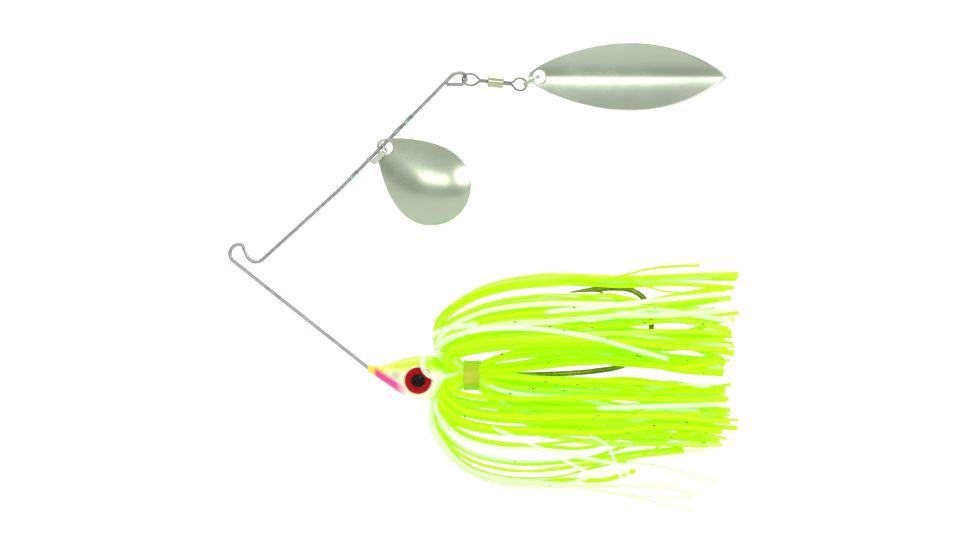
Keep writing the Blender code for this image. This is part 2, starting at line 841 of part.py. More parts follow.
# ---- skirt ------------------------------------------------------------------------------------
def axial_ring(name, profile, group, material):
    """A ring turned about the collar's axis; profile is (radius, x)."""
    ring = lathe(name, [(r, x) for r, x in profile], 32, group, material)
    ring.location = (0, 0, COLLAR_CENTRE * MM)
    ring.rotation_euler = (0, math.pi / 2, 0)
    return ring


def build_band(group, materials):
    middle = (BAND_FRONT + BAND_REAR) / 2
    band = [
        (BAND_INNER, BAND_REAR),
        (BAND_OUTER - 0.15, BAND_REAR),
        (BAND_OUTER, BAND_REAR - 0.3),
        (BAND_OUTER - 0.12, middle),
        (BAND_OUTER, BAND_FRONT + 0.3),
        (BAND_OUTER - 0.15, BAND_FRONT),
        (BAND_INNER, BAND_FRONT),
    ]
    axial_ring("skirt_band", band, group, materials["band"])
    waist = [
        (WAIST_INNER, WAIST_REAR),
        (WAIST_OUTER, WAIST_REAR),
        (WAIST_OUTER, WAIST_FRONT),
        (WAIST_INNER, WAIST_FRONT),
    ]
    axial_ring("skirt_waist", waist, group, materials["skirt"])


def lock_scale(count):
    """A lock is thin at its root, full along its length and a little thinner at its tip."""
    root = LOCK_ROOT_RADIUS / LOCK_RADIUS
    scale = []
    for i in range(count):
        t = i / (count - 1)
        grown = root + (1 - root) * min(1.0, t / LOCK_GROWN_AT)
        thinned = max(0.0, t - LOCK_THINS_AT) / (1.0 - LOCK_THINS_AT)
        scale.append(grown * (1.0 - LOCK_TIP_LOSS * thinned))
    return scale


def build_lock(name, knots, group, materials):
    route = smooth_route(knots, 1)
    data = tube_curve(name, route, LOCK_RADIUS, 1, lock_scale(len(route)))
    return add_object(name, data, group, materials["skirt"])


def folded_knots(side, seat, shoulder_y, shoulder_z, tip_x, tip_y, tip_z):
    """From the band forwards, out over the head's shoulder and back to the tip.

    seat is the root's angle round the collar, in radians from its top.
    """
    root = Vector((math.sin(seat) * side, math.cos(seat))) * FOLD_ROOT
    shoulder = Vector((shoulder_y * side, shoulder_z))
    tip = Vector((tip_y * side, tip_z))
    knots = []
    for x, share in FOLD_ROUTE:
        spot = root.lerp(shoulder, share)
        knots.append((x, spot.x, COLLAR_CENTRE + spot.y))
    for share in (0.33, 0.67, 1.0):
        spot = shoulder.lerp(tip, share)
        x = FOLD_ROUTE[-1][0] + (tip_x - FOLD_ROUTE[-1][0]) * share
        knots.append((x, spot.x, COLLAR_CENTRE + spot.y))
    return knots


def tail_knots(side, root_y, root_z, tip_x, tip_y, tip_z):
    """From behind the band straight back, spreading towards the tip."""
    knots = []
    for share in (0.0, 0.06, 0.14, 0.26, 0.42, 0.60, 0.80, 1.0):
        spread = share**0.8
        x = TAIL_ROOT_X + (tip_x - TAIL_ROOT_X) * share
        y = (root_y + (tip_y - root_y) * spread) * side
        z = COLLAR_CENTRE + root_z + (tip_z - root_z) * spread
        knots.append((x, y, z))
    return knots


def build_skirt(group, materials):
    for side, hand in ((-1, "left"), (1, "right")):
        for i, (name, lay) in enumerate(FOLDED_LOCKS.items()):
            seat = math.pi * (i + 0.5) / len(FOLDED_LOCKS)
            build_lock(f"skirt_{name}_{hand}", folded_knots(side, seat, *lay), group, materials)
        for name, lay in TAIL_LOCKS.items():
            build_lock(f"skirt_{name}_{hand}", tail_knots(side, *lay), group, materials)
    build_lock("skirt_tail_keel", tail_knots(1, *TAIL_KEEL), group, materials)


# ---- assembly ---------------------------------------------------------------------------------
def main():
    clear_scene()
    group = collection("spinnerbait")
    cutters = collection("cutters")
    materials = make_materials()
    build_wire(group, materials)
    build_head(group, cutters, materials)
    build_eyes(group, materials)
    build_hook(group, cutters, materials)
    build_bead("lower_bead", LOWER_BEAD_AT, group, materials)
    build_bead("near_upper_bead", NEAR_BEAD_AT, group, materials)
    build_bead("far_upper_bead", FAR_BEAD_AT, group, materials)
    clevis_seat = add_empty("clevis_seat", group, on_arm(CLEVIS_AT), (0, arm_tilt(), 0))
    build_clevis(group, cutters, materials, clevis_seat)
    build_colorado(group, cutters, materials)
    build_swivel(group, cutters, materials)
    build_split_ring(group, materials)
    build_willow(group, cutters, materials)
    build_band(group, materials)
    build_skirt(group, materials)


main()
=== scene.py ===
"""Spinnerbait, seen from its left side: the finished surfaces of the wire frame, the painted
head, the hook, the silicone skirt, the two blades and the swivel that joins the rear one.

Shapes are worked out in millimetres as grids of points and laid into meshes in metres.
"""

import math

import bpy
import numpy as np
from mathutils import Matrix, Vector


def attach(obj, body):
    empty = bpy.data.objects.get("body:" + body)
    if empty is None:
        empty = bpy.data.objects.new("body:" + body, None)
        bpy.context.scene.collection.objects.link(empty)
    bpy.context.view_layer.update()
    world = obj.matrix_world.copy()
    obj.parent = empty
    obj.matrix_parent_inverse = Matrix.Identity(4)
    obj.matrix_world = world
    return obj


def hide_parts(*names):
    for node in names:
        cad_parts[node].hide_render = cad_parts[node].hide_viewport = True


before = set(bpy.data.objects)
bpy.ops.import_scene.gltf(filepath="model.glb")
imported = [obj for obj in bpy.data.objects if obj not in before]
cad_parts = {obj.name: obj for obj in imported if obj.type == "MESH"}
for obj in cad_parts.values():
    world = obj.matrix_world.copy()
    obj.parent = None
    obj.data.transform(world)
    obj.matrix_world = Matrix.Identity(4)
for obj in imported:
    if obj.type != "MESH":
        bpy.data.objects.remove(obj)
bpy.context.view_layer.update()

MM = 0.001
SEED = 11
SHARP_EDGE = math.radians(38.0)
# smallest radius of a lathed face, so that its middle is a small flat cap
AXIS_GAP = 0.05

# ---- wire frame: circles (x, z, radius, turn) that the wire wraps ----
WIRE_RADIUS = 0.50
NOSE_ENTRY = (37.3, -32.95)
TIE_BACK = (1.17, -1.06, 2.55, -1)
TIE_TOP = (1.14, 0.37, 1.20, -1)
TIE_REST = (5.70, -0.54, 2.71, 1)
ARM_KINK = (18.10, 27.35, 15.0, 1)
LOOP_SHOULDER = (60.90, 44.92, 3.15, -1)
LOOP_END = (61.07, 46.48, 1.59, -1)
LOOP_TIP = (57.45, 44.89)
WIRE_ANCHOR = [
    (46.2, 1.60, -34.20),
    (46.2, 0.30, -34.20),
    (46.1, -0.90, -34.20),
    (45.2, -1.55, -34.20),
    (43.6, -1.45, -34.25),
    (41.2, -0.75, -34.20),
    (38.9, -0.15, -33.75),
]

# ---- what rides on the upper arm ----
BEAD_RADIUS = 1.75
BEAD_BORE = 0.64
BEADS = {"lower_bead": 4.7, "near_upper_bead": 22.0, "far_upper_bead": 25.8}
CLEVIS_AT = 13.4
CLEVIS_HALF_SPAN = 2.70
CLEVIS_DEPTH = 4.20
CLEVIS_CORNER = 1.50
CLEVIS_THICKNESS = 0.40
CLEVIS_NECK = 0.80
CLEVIS_EAR = 1.15
CLEVIS_HOLE = 0.74
CLEVIS_TURN = 68.0
# places along the strap: down each straight leg, and across its closed end
CLEVIS_LEG = [CLEVIS_HOLE + 0.12, 1.3, 2.0]
CLEVIS_BOTTOM = [0.6, 0.0, -0.6]

# ---- blades ----
BLADE_THICKNESS = 0.55
COLORADO = {
    "hole_at": (41.05, -2.15, 27.60),
    "length": 29.6,
    "half_width": 10.9,
    "dish": 3.2,
    "nose": 2.95,
    "hole": 1.75,
    "droop": 40.0,
}
WILLOW = {
    "hole_at": (82.60, 0.0, 47.00),
    "length": 54.0,
    "half_width": 9.4,
    "dish": -2.2,
    "nose": 3.05,
    "hole": 1.60,
    "droop": 0.0,
}
CREASE_SOFTNESS = 0.015
# half the distance over which a sheet's slope is taken, and the steepest slope allowed
SLOPE_STEP = 0.05
STEEPEST = 1.2

# ---- swivel: distances along its axis from the centre of the end loop's round side ----
SWIVEL_DROOP = 5.5
SWIVEL_WIRE = 0.29
SHANK_GAP = 0.33
FLARE_RADIUS = 0.8
FRONT_EYE = {"end": 0.64, "radius": 2.15, "tilt": 46.0}
REAR_EYE = {"end": 18.14, "radius": 1.85, "tilt": -24.0}
BARREL_FRONT = 7.49
BARREL_REAR = 11.84
BARREL_RADIUS = 1.56
BARREL_WALL = 0.30
BARREL_MOUTH = 0.80
BARREL_SHOULDER = 0.32
BARREL_LIP = 0.20
# a shallow waist between two bands: where each band ends, where the waist starts, its depth
BAND_ENDS = 0.9
WAIST_STARTS = 1.1
WAIST_DEPTH = 0.03
FOOT_RADIUS = 0.98
FOOT_THICKNESS = 0.50
FOOT_EDGE = 0.10
FOOT_PLAY = 0.25
EYE_CLEARANCE = 0.05
RING_WIRE = 0.25
RING_PITCH = 0.56
RING_TURNS = 1.94
RING_START = 0.28
RING_LEFT_AT = 17.22

# ---- head: (x, top, bottom, half width) ----
HEAD_SECTIONS = [
    (36.1, -31.15, -33.05, 0.95),
    (37.8, -31.35, -34.10, 1.30),
    (40.0, -31.20, -35.65, 2.00),
    (42.3, -30.60, -37.20, 2.75),
    (44.7, -29.75, -38.85, 3.40),
    (47.5, -29.00, -40.15, 3.95),
    (50.9, -28.65, -40.75, 4.25),
    (53.8, -28.80, -40.35, 4.10),
    (55.6, -29.70, -39.10, 3.60),
    (56.9, -31.00, -37.30, 2.90),
    (57.7, -31.95, -36.05, 2.05),
]
COLLAR_CENTRE = -34.0
COLLAR_RADIUS = 2.05
COLLAR_END = 67.7
KEEPER_RADIUS = 2.45
KEEPER_END = 68.7
KEEPER_SECTIONS = [
    (COLLAR_END, COLLAR_RADIUS),
    (COLLAR_END + 0.15, COLLAR_RADIUS + 0.15),
    (COLLAR_END + 0.35, KEEPER_RADIUS),
    (COLLAR_END + 0.6, KEEPER_RADIUS),
    (KEEPER_END - 0.1, COLLAR_RADIUS),
    (KEEPER_END, COLLAR_RADIUS - 0.25),
]
NOSE_LIP = 0.15
NOSE_SHARE = 0.6
EYE_CENTRE = (49.7, -35.4)
EYE_RADIUS = 3.75
SOCKET_RADIUS = 3.95
SOCKET_FLOOR = 3.30
SOCKET_RIM = 0.22
EYE_DISC_THICKNESS = 0.35
EYE_DISC_EDGE = 0.06
EYE_DOME_HEIGHT = 0.85
PART_GAP = 0.12
# centre of a painted shade: a darker olive spot on the cheek between the nose and the eye
CHEEK_SHADE_AT = (43.6, -34.1)

# ---- hook ----
HOOK_RADIUS = 0.75
HOOK_EYE_AT = (46.2, -34.2)
HOOK_EYE_RADIUS = 1.75
HOOK_EYE_WIRE = 0.62
HOOK_ROUTE = [
    (47.9, -34.20),
    (58.0, -34.05),
    (72.0, -34.00),
    (88.0, -33.60),
    (98.0, -32.80),
    (104.5, -31.60),
    (109.0, -29.10),
    (111.8, -25.60),
    (112.9, -21.40),
    (112.7, -17.20),
    (111.0, -13.30),
    (107.6, -10.95),
    (103.2, -10.35),
    (97.4, -10.70),
    (90.6, -11.50),
]
HOOK_POINT_LENGTH = 8.0
HOOK_POINT_RADIUS = 0.10
BARB_ROOT_RADIUS = 0.52
BARB_TIP_RADIUS = 0.05
BARB_ROUTE = [(97.6, -10.9), (98.9, -11.25), (100.1, -12.05), (101.2, -13.10)]

# ---- skirt ----
BAND_FRONT = 62.0
BAND_REAR = 66.4
BAND_INNER = 3.50
BAND_OUTER = 4.10
BAND_EDGE = 0.22
BAND_WAIST = 0.10
STRAND_WIDTH = 1.35
STRAND_THICKNESS = 0.50
SEAT_SPREAD = math.radians(85.0)
# each side has half of a lock's strands, and the near side a little more
SIDE_SHARE = 0.5
NEAR_SIDE_EXTRA = 0.25
TINT_MIDDLE = 0.42
TINT_SPREAD = 0.20
LOOSE_TINT = 0.12
SHOULDER_LIMIT = 13.2
TIP_LIMIT = 13.4
TIP_WAVE = 0.95
ROOT_RADII = (2.75, 3.25)
TAIL_ROOT_RADIUS = 3.2
# sides that a strand may take, as shares of its lock's: across the middle line, or clear of it
CROSSING_SHARE = -0.40
CLEAR_SHARE = 0.40
OUTER_SHARE = 1.12


# ---- surfaces ----
def unit(vectors):
    """Each vector divided by its length."""
    return vectors / np.maximum(np.linalg.norm(vectors, axis=-1, keepdims=True), 1e-12)


def smooth_curve(knots, count):
    """count points on the Catmull-Rom curve through knots, whose second last axis is the row."""
    knots = np.asarray(knots, float)
    last = knots.shape[-2] - 1
    ahead = 2 * knots[..., :1, :] - knots[..., 1:2, :]
    behind = 2 * knots[..., -1:, :] - knots[..., -2:-1, :]
    padded = np.concatenate([ahead, knots, behind], axis=-2)
    place = np.linspace(0.0, last, count)
    i = np.minimum(place.astype(int), last - 1)
    t = (place - i)[:, None]
    p0, p1, p2, p3 = (np.take(padded, i + k, axis=-2) for k in range(4))
    return 0.5 * (
        2 * p1
        + (p2 - p0) * t
        + (2 * p0 - 5 * p1 + 4 * p2 - p3) * t**2
        + (3 * p1 - p0 - 3 * p2 + p3) * t**3
    )


def in_plane(points, y=0.0):
    """Points (x, z) as (x, y, z)."""
    points = np.asarray(points, float)
    return np.stack([points[:, 0], np.full(len(points), y), points[:, 1]], axis=-1)


def turned(points, axis, degrees):
    """Points turned about one of the X, Y or Z axes by the right-hand rule."""
    a, b = {"X": (1, 2), "Y": (2, 0), "Z": (0, 1)}[axis]
    angle = math.radians(degrees)
    out = np.array(points, float)
    out[..., a] = points[..., a] * math.cos(angle) - points[..., b] * math.sin(angle)
    out[..., b] = points[..., a] * math.sin(angle) + points[..., b] * math.cos(angle)
    return out


def carried(path, profile, hint):
    """A profile carried along a path: path point + normal * p + binormal * q for each (p, q).

    path is (..., rows, 3), profile (..., rows, columns, 2), and hint the direction that the
    normal leans to at each point: the part of hint at right angles to the path.
    """
    along = unit(np.gradient(path, axis=-2))
    hint = np.broadcast_to(np.asarray(hint, float), path.shape)
    normal = unit(hint - (hint * along).sum(-1, keepdims=True) * along)
    binormal = np.cross(along, normal)
    return (
        path[..., None, :]
        + profile[..., :1] * normal[..., None, :]
        + profile[..., 1:] * binormal[..., None, :]
    )


def circle_profile(radii, columns):
    """A circle of each radius: (r cos a, r sin a)."""
    a = np.linspace(0.0, 2 * math.pi, columns, endpoint=False)
    ring = np.stack([np.cos(a), np.sin(a)], axis=-1)
    return np.asarray(radii, float)[:, None, None] * ring


def round_bar(path, radius, columns, hint=(0.0, 1.0, 0.0), ends=True):
    """A round bar along path, its ends eased over a third of the radius like a cut wire."""
    path = np.asarray(path, float)
    radii = np.broadcast_to(np.asarray(radius, float), (len(path),)).copy()
    if ends:
        lead = unit(path[:1] - path[1:2]) * radii[0] * 0.3
        tail = unit(path[-1:] - path[-2:-1]) * radii[-1] * 0.3
        path = np.concatenate([path[:1] + lead, path[:1] + lead * 0.75, path[:1]] + [path[1:-1]]
                              + [path[-1:], path[-1:] + tail * 0.75, path[-1:] + tail])
        first, last = radii[0], radii[-1]
        radii = np.concatenate([[first * 0.7, first * 0.92], radii, [last * 0.92, last * 0.7]])
    return carried(path, circle_profile(radii, columns), hint)


def lathed(profile, columns):
    """profile (radius, x) turned about the X axis: (x, r sin a, r cos a)."""
    profile = np.asarray(profile, float)
    a = np.linspace(0.0, 2 * math.pi, columns, endpoint=False)
    radius, x = profile[:, 0, None], profile[:, 1, None]
    return np.stack([x + 0 * a, radius * np.sin(a), radius * np.cos(a)], axis=-1)


def squared(angles, power):
    """Cosine and sine of the angles, each raised to power with its sign kept."""
    c, s = np.cos(angles), np.sin(angles)
    return np.sign(c) * np.abs(c) ** power, np.sign(s) * np.abs(s) ** power


def arc(centre, radius, first, last, count):
    """count points on a circle, angles in degrees from the first axis."""
    a = np.radians(np.linspace(first, last, count))
    return np.stack([centre[0] + radius * np.cos(a), centre[1] + radius * np.sin(a)], axis=-1)


def volume_sign(points, wrap_rows):
    """1 or -1 for each grid of (count, rows, columns, 3): which way its quads face."""
    centre = points.mean(axis=(1, 2), keepdims=True)
    p = points - centre
    down = np.roll(p, -1, axis=1)
    if not wrap_rows:
        p, down = p[:, :-1], down[:, :-1]
    right, corner = np.roll(p, -1, axis=2), np.roll(down, -1, axis=2)
    first = (np.cross(p, right) * corner).sum(-1)
    second = (np.cross(p, corner) * down).sum(-1)
    return np.where((first + second).sum(axis=(1, 2)) < 0, -1, 1)


def facing_out(grids, wrap_rows):
    """Closed grids as (count, rows, columns, 3), columns reversed where they would face inwards."""
    grids = np.array(grids, float)
    if grids.ndim == 3:
        grids = grids[None]
    inward = volume_sign(grids, wrap_rows) < 0
    grids[inward] = grids[inward][:, :, ::-1]
    return grids


def closed_faces(shape, wrap_rows, first):
    """Faces of grids of this shape whose corners are numbered from first."""
    count, rows, columns, _ = shape
    i = np.arange(rows if wrap_rows else rows - 1)[:, None]
    j = np.arange(columns)[None, :]
    below, beside = (i + 1) % rows, (j + 1) % columns
    quads = np.stack(
        [i * columns + j, i * columns + beside, below * columns + beside, below * columns + j], -1
    ).reshape(-1, 4)
    starts = first + np.arange(count) * rows * columns
    faces = (quads[None] + starts[:, None, None]).reshape(-1, 4).tolist()
    if not wrap_rows:
        ring = np.arange(columns)
        faces += (starts[:, None] + ring[::-1]).tolist()
        faces += (starts[:, None] + (rows - 1) * columns + ring).tolist()
    return faces


def joined(name, shapes):
    """One mesh of closed grids in millimetres, given as pairs (grids, wrap_rows).

    Columns close on themselves. Rows close on themselves too, or end in flat caps.
    """
    corners, faces, first = [], [], 0
    for grids, wrap_rows in shapes:
        grids = facing_out(grids, wrap_rows)
        faces += closed_faces(grids.shape, wrap_rows, first)
        corners.append(grids.reshape(-1, 3))
        first += len(corners[-1])
    data = bpy.data.meshes.new(name)
    data.from_pydata((np.concatenate(corners) * MM).tolist(), [], faces)
    data.shade_smooth()
    data.set_sharp_from_angle(angle=SHARP_EDGE)
    return data


def closed_mesh(name, grids, wrap_rows=False, tints=None):
    """A mesh of one set of closed grids; tints gives a number for each of its points."""
    data = joined(name, [(grids, wrap_rows)])
    if tints is not None:
        layer = data.attributes.new("tint", "FLOAT", "POINT")
        layer.data.foreach_set("value", np.broadcast_to(tints, np.shape(grids)[:3]).ravel())
    return data


def piece(name, data, material, slot, body, *nodes):
    """The finished object: its material, its body and the CAD nodes it stands for. Its slot is not used."""
    item = bpy.data.objects.new(name, data)
    bpy.context.scene.collection.objects.link(item)
    data.materials.append(material)
    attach(item, body)
    if nodes:
        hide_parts(*nodes)
    return item


# ---- materials ----
class Finish:
    """A material's node tree, with its Principled shader and its Object coordinates."""

    def __init__(self, name, colour, metallic=0.0, roughness=0.5, **sockets):
        self.material = bpy.data.materials.new(name)
        self.material.use_nodes = True
        self.tree = self.material.node_tree
        self.shader = self.tree.nodes["Principled BSDF"]
        self.set("Base Color", (*colour, 1.0))
        self.set("Metallic", metallic)
        self.set("Roughness", roughness)
        for label, value in sockets.items():
            self.set(label.replace("_", " "), value)
        self.object = self.add("ShaderNodeTexCoord").outputs["Object"]

    def set(self, label, value):
        self.shader.inputs[label].default_value = value

    def add(self, kind, **values):
        node = self.tree.nodes.new(kind)
        for label, value in values.items():
            if hasattr(node, label):
                setattr(node, label, value)
            else:
                self.feed(node.inputs[label.replace("_", " ")], value)
        return node

    def feed(self, socket, value):
        if isinstance(value, bpy.types.NodeSocket):
            self.tree.links.new(value, socket)
        else:
            socket.default_value = value

    def math(self, operation, first, second=0.0, clamp=False):
        node = self.add("ShaderNodeMath", operation=operation, use_clamp=clamp)
        self.feed(node.inputs[0], first)
        self.feed(node.inputs[1], second)
        return node.outputs[0]

    def ramp(self, value, low, high, start=0.0, end=1.0, smooth=True):
        node = self.add("ShaderNodeMapRange")
        node.interpolation_type = "SMOOTHSTEP" if smooth else "LINEAR"
        for label, number in (
            ("Value", value), ("From Min", low), ("From Max", high), ("To Min", start), ("To Max", end),
        ):
            self.feed(node.inputs[label], number)
        return node.outputs["Result"]

    def mix(self, share, first, second):
        node = self.add("ShaderNodeMix", data_type="RGBA")
        self.feed(node.inputs["Factor"], share)
        for label, colour in (("A", first), ("B", second)):
            socket = next(s for s in node.inputs if s.name == label and s.type == "RGBA")
            self.feed(socket, colour if isinstance(colour, bpy.types.NodeSocket) else (*colour, 1.0))
        return next(s for s in node.outputs if s.type == "RGBA")

    def blend(self, value, low, high, first, second):
        """first where value is at or below low, easing to second at high."""
        return self.mix(self.ramp(value, low, high), first, second)

    def sloped(self, value, slope, start):
        return self.math("ADD", self.math("MULTIPLY", value, slope), start)

    def stretched(self, scale, turn=(0.0, 0.0, 0.0)):
        node = self.add("ShaderNodeMapping")
        node.inputs["Scale"].default_value = scale
        node.inputs["Rotation"].default_value = [math.radians(a) for a in turn]
        self.feed(node.inputs["Vector"], self.object)
        return node.outputs["Vector"]

    def noise(self, scale, detail=2.0, vector=None):
        node = self.add("ShaderNodeTexNoise")
        node.inputs["Scale"].default_value = scale
        node.inputs["Detail"].default_value = detail
        self.feed(node.inputs["Vector"], self.object if vector is None else vector)
        return node.outputs["Fac"]

    def parts(self):
        node = self.add("ShaderNodeSeparateXYZ")
        self.feed(node.inputs[0], self.object)
        return [node.outputs[k] for k in range(3)]

    def bump(self, height, distance, strength=0.5):
        node = self.add("ShaderNodeBump")
        node.inputs["Strength"].default_value = strength
        node.inputs["Distance"].default_value = distance
        self.feed(node.inputs["Height"], height)
        self.tree.links.new(node.outputs["Normal"], self.shader.inputs["Normal"])

    def colour(self, value):
        self.feed(self.shader.inputs["Base Color"], value)

    def link(self, label, value):
        self.feed(self.shader.inputs[label], value)


def plated_sheet(name, pale, deep, roughness, turn):
    """Nickel plate over pressed brass: fine polishing lines and a slow drift of its tone."""
    finish = Finish(name, pale, metallic=1.0, roughness=roughness)
    lines = finish.noise(9000.0, 2.0, finish.stretched((0.03, 1.0, 1.0), turn))
    drift = finish.noise(90.0, 3.0)
    finish.colour(finish.blend(drift, 0.35, 0.70, deep, pale))
    worn = finish.math("ADD", finish.math("MULTIPLY", lines, 0.06), finish.math("MULTIPLY", drift, 0.10))
    finish.link("Roughness", finish.math("ADD", worn, roughness - 0.08))
    finish.bump(lines, 0.00002, 0.25)
    return finish.material


def drawn_wire(name, colour, roughness):
    """Drawn wire: faint lengthwise die lines and a little tarnish."""
    finish = Finish(name, colour, metallic=1.0, roughness=roughness)
    tarnish = finish.noise(700.0, 4.0)
    dull = tuple(0.72 * c for c in colour)
    finish.colour(finish.blend(tarnish, 0.42, 0.75, colour, dull))
    finish.link("Roughness", finish.ramp(tarnish, 0.30, 0.80, roughness - 0.06, roughness + 0.12))
    finish.bump(finish.noise(5200.0, 2.0), 0.00001, 0.2)
    return finish.material


def bronze_lacquer():
    """Translucent bronze lacquer over steel: golden where it thins, darker in its runs."""
    finish = Finish("bronze_lacquer", (0.20, 0.17, 0.02), metallic=1.0, roughness=0.26)
    runs = finish.noise(260.0, 4.0)
    finish.colour(finish.blend(runs, 0.35, 0.70, (0.19, 0.165, 0.015), (0.36, 0.30, 0.05)))
    finish.link("Roughness", finish.ramp(runs, 0.30, 0.75, 0.20, 0.36))
    finish.bump(finish.noise(1800.0, 3.0), 0.00002, 0.25)
    return finish.material


def nickelled_brass():
    """Thin nickel over brass: the brass shows as a warm cast and in scuffs."""
    finish = Finish("nickelled_brass", (0.50, 0.52, 0.38), metallic=1.0, roughness=0.24)
    scuffs = finish.noise(1500.0, 4.0)
    finish.colour(finish.blend(scuffs, 0.50, 0.72, (0.50, 0.52, 0.38), (0.40, 0.38, 0.20)))
    finish.bump(scuffs, 0.00002, 0.2)
    return finish.material


def distance_from(finish, place):
    """Distance in the side view from a place (x, z) given in millimetres."""
    x, _, z = finish.parts()
    across = finish.math("SUBTRACT", x, place[0] * MM)
    up = finish.math("SUBTRACT", z, place[1] * MM)
    squares = finish.math("ADD", finish.math("MULTIPLY", across, across), finish.math("MULTIPLY", up, up))
    return finish.math("SQRT", squares)


def round_spot(finish, place, core, edge):
    """1 at a place (x, z), easing to 0 at the edge's distance."""
    return finish.ramp(distance_from(finish, place), core, edge, 0.75, 0.0)


def head_enamel():
    """Airbrushed enamel: chartreuse back over a pearl belly, a magenta throat, orange nose edge, and a
    painted shade spot on the cheek.
    """
    finish = Finish("head_enamel", (0.9, 1.0, 0.6), roughness=0.22, Coat_Weight=0.8, Coat_Roughness=0.06)
    x, _, z = finish.parts()
    spray = finish.math("MULTIPLY", finish.math("SUBTRACT", finish.noise(1400.0, 4.0), 0.5), 0.0007)
    height = finish.math("ADD", z, spray)
    # the back colour's edge climbs slowly from the nose to the tail of the head
    back_line = finish.sloped(x, -0.02, -0.0323)
    back = finish.ramp(finish.math("SUBTRACT", height, back_line), -0.0010, 0.0019)
    # the throat colour lies under the nose, along the line of the belly
    throat_line = finish.sloped(x, -0.62, -0.0084)
    below = finish.math("SUBTRACT", throat_line, height)
    throat = finish.math("MULTIPLY", finish.ramp(below, -0.0008, 0.0009),
                         finish.ramp(finish.math("ADD", x, spray), 0.0432, 0.0474, 1.0, 0.0))
    throat = finish.math("MULTIPLY", throat, finish.ramp(x, 0.0372, 0.0386))
    edge = finish.math("MULTIPLY", finish.ramp(below, -0.0016, -0.0001),
                       finish.ramp(x, 0.0385, 0.0430, 1.0, 0.0))
    pearl = finish.mix(finish.noise(500.0, 3.0), (0.93, 0.96, 0.66), (1.0, 1.0, 0.80))
    chartreuse = finish.blend(x, 0.038, 0.052, (0.84, 0.90, 0.01), (0.62, 0.92, 0.0))
    body = finish.mix(back, pearl, chartreuse)
    body = finish.mix(edge, body, (0.98, 0.74, 0.01))
    # painted shade: a darker olive spot on the cheek between the nose and the eye
    body = finish.mix(round_spot(finish, CHEEK_SHADE_AT, 0.0002, 0.0019), body, (0.60, 0.58, 0.26))
    body = finish.mix(throat, body, (0.84, 0.01, 0.32))
    seat_edge = finish.ramp(distance_from(finish, EYE_CENTRE), 0.00400, 0.00415, 1.0, 0.0)
    finish.colour(finish.mix(seat_edge, body, (1.0, 0.88, 0.66)))
    finish.bump(finish.noise(2600.0, 2.0), 0.00002, 0.2)
    return finish.material


def printed_eye():
    """A foil disc printed with a red iris that darkens outwards, a black pupil and a pale edge."""
    finish = Finish("printed_eye", (0.5, 0.0, 0.0), roughness=0.5, Specular_IOR_Level=0.03)
    far = distance_from(finish, EYE_CENTRE)
    iris = finish.blend(far, 0.0017, 0.0034, (0.36, 0.002, 0.003), (0.60, 0.004, 0.004))
    iris = finish.blend(far, 0.00325, 0.00350, iris, (0.22, 0.002, 0.002))
    pupil = finish.blend(far, 0.00172, 0.00190, (0.004, 0.006, 0.005), iris)
    finish.colour(finish.blend(far, 0.00352, 0.00360, pupil, (0.98, 0.90, 0.70)))
    finish.bump(finish.noise(3000.0, 2.0), 0.00001, 0.15)
    return finish.material


def clear_resin(name, tint, roughness, index, gloss):
    """Clear moulded plastic with faint flow lines."""
    finish = Finish(name, tint, roughness=roughness, Transmission_Weight=1.0, IOR=index,
                    Specular_IOR_Level=gloss)
    finish.link("Roughness", finish.ramp(finish.noise(900.0, 2.0), 0.4, 0.8, roughness, roughness + 0.06))
    finish.bump(finish.noise(1100.0, 2.0), 0.00002, 0.15)
    return finish.material


def band_rubber():
    """Translucent yellow rubber collar with a fine mould texture."""
    finish = Finish("band_rubber", (0.55, 0.66, 0.05), roughness=0.42)
    cloud = finish.noise(420.0, 3.0, finish.stretched((0.35, 1.0, 1.0)))
    finish.colour(finish.blend(cloud, 0.35, 0.7, (0.42, 0.55, 0.005), (0.60, 0.56, 0.02)))
    finish.bump(finish.noise(2400.0, 3.0), 0.00004, 0.3)
    return finish.material


def flecks(finish, share):
    """Where the black flecks lie: a dot near some of the cells' centres."""
    cells = finish.add("ShaderNodeTexVoronoi")
    cells.inputs["Scale"].default_value = 520.0
    finish.feed(cells.inputs["Vector"], finish.stretched((0.45, 1.0, 1.0)))
    dot = finish.ramp(cells.outputs["Distance"], 0.07, 0.12, 1.0, 0.0)
    tone = finish.add("ShaderNodeSeparateColor")
    finish.feed(tone.inputs[0], cells.outputs["Color"])
    chosen = finish.math("GREATER_THAN", tone.outputs[0], 1.0 - share)
    return finish.math("MULTIPLY", dot, chosen)


def chartreuse_silicone():
    """Fluorescent chartreuse silicone: each strand has its own depth of colour, with flecks, and a painted
    glow (emission) of its own colour that stands in for the fluorescence and keeps it bright in shade.
    """
    # painted light: Emission_Strength here and the Emission Color linked below make the strands glow in
    # their own colour
    finish = Finish("chartreuse_silicone", (0.55, 0.99, 0.0), roughness=0.34, Emission_Strength=0.28,
                    Specular_IOR_Level=0.15)
    tint = finish.add("ShaderNodeAttribute", attribute_name="tint").outputs["Fac"]
    cloud = finish.noise(160.0, 3.0, finish.stretched((0.3, 1.0, 1.0)))
    depth = finish.math("ADD", tint, finish.math("MULTIPLY", finish.math("SUBTRACT", cloud, 0.5), 0.5))
    deep = finish.blend(depth, 0.0, 0.40, (0.42, 0.82, 0.0), (0.49, 1.0, 0.0))
    colour = finish.blend(depth, 0.55, 1.00, deep, (0.60, 1.0, 0.16))
    dark = flecks(finish, 0.45)
    colour = finish.mix(dark, colour, (0.03, 0.05, 0.01))
    finish.colour(colour)
    # painted glow: the strands emit their own colour
    finish.link("Emission Color", colour)
    finish.bump(finish.noise(1500.0, 2.0), 0.00003, 0.2)
    return finish.material


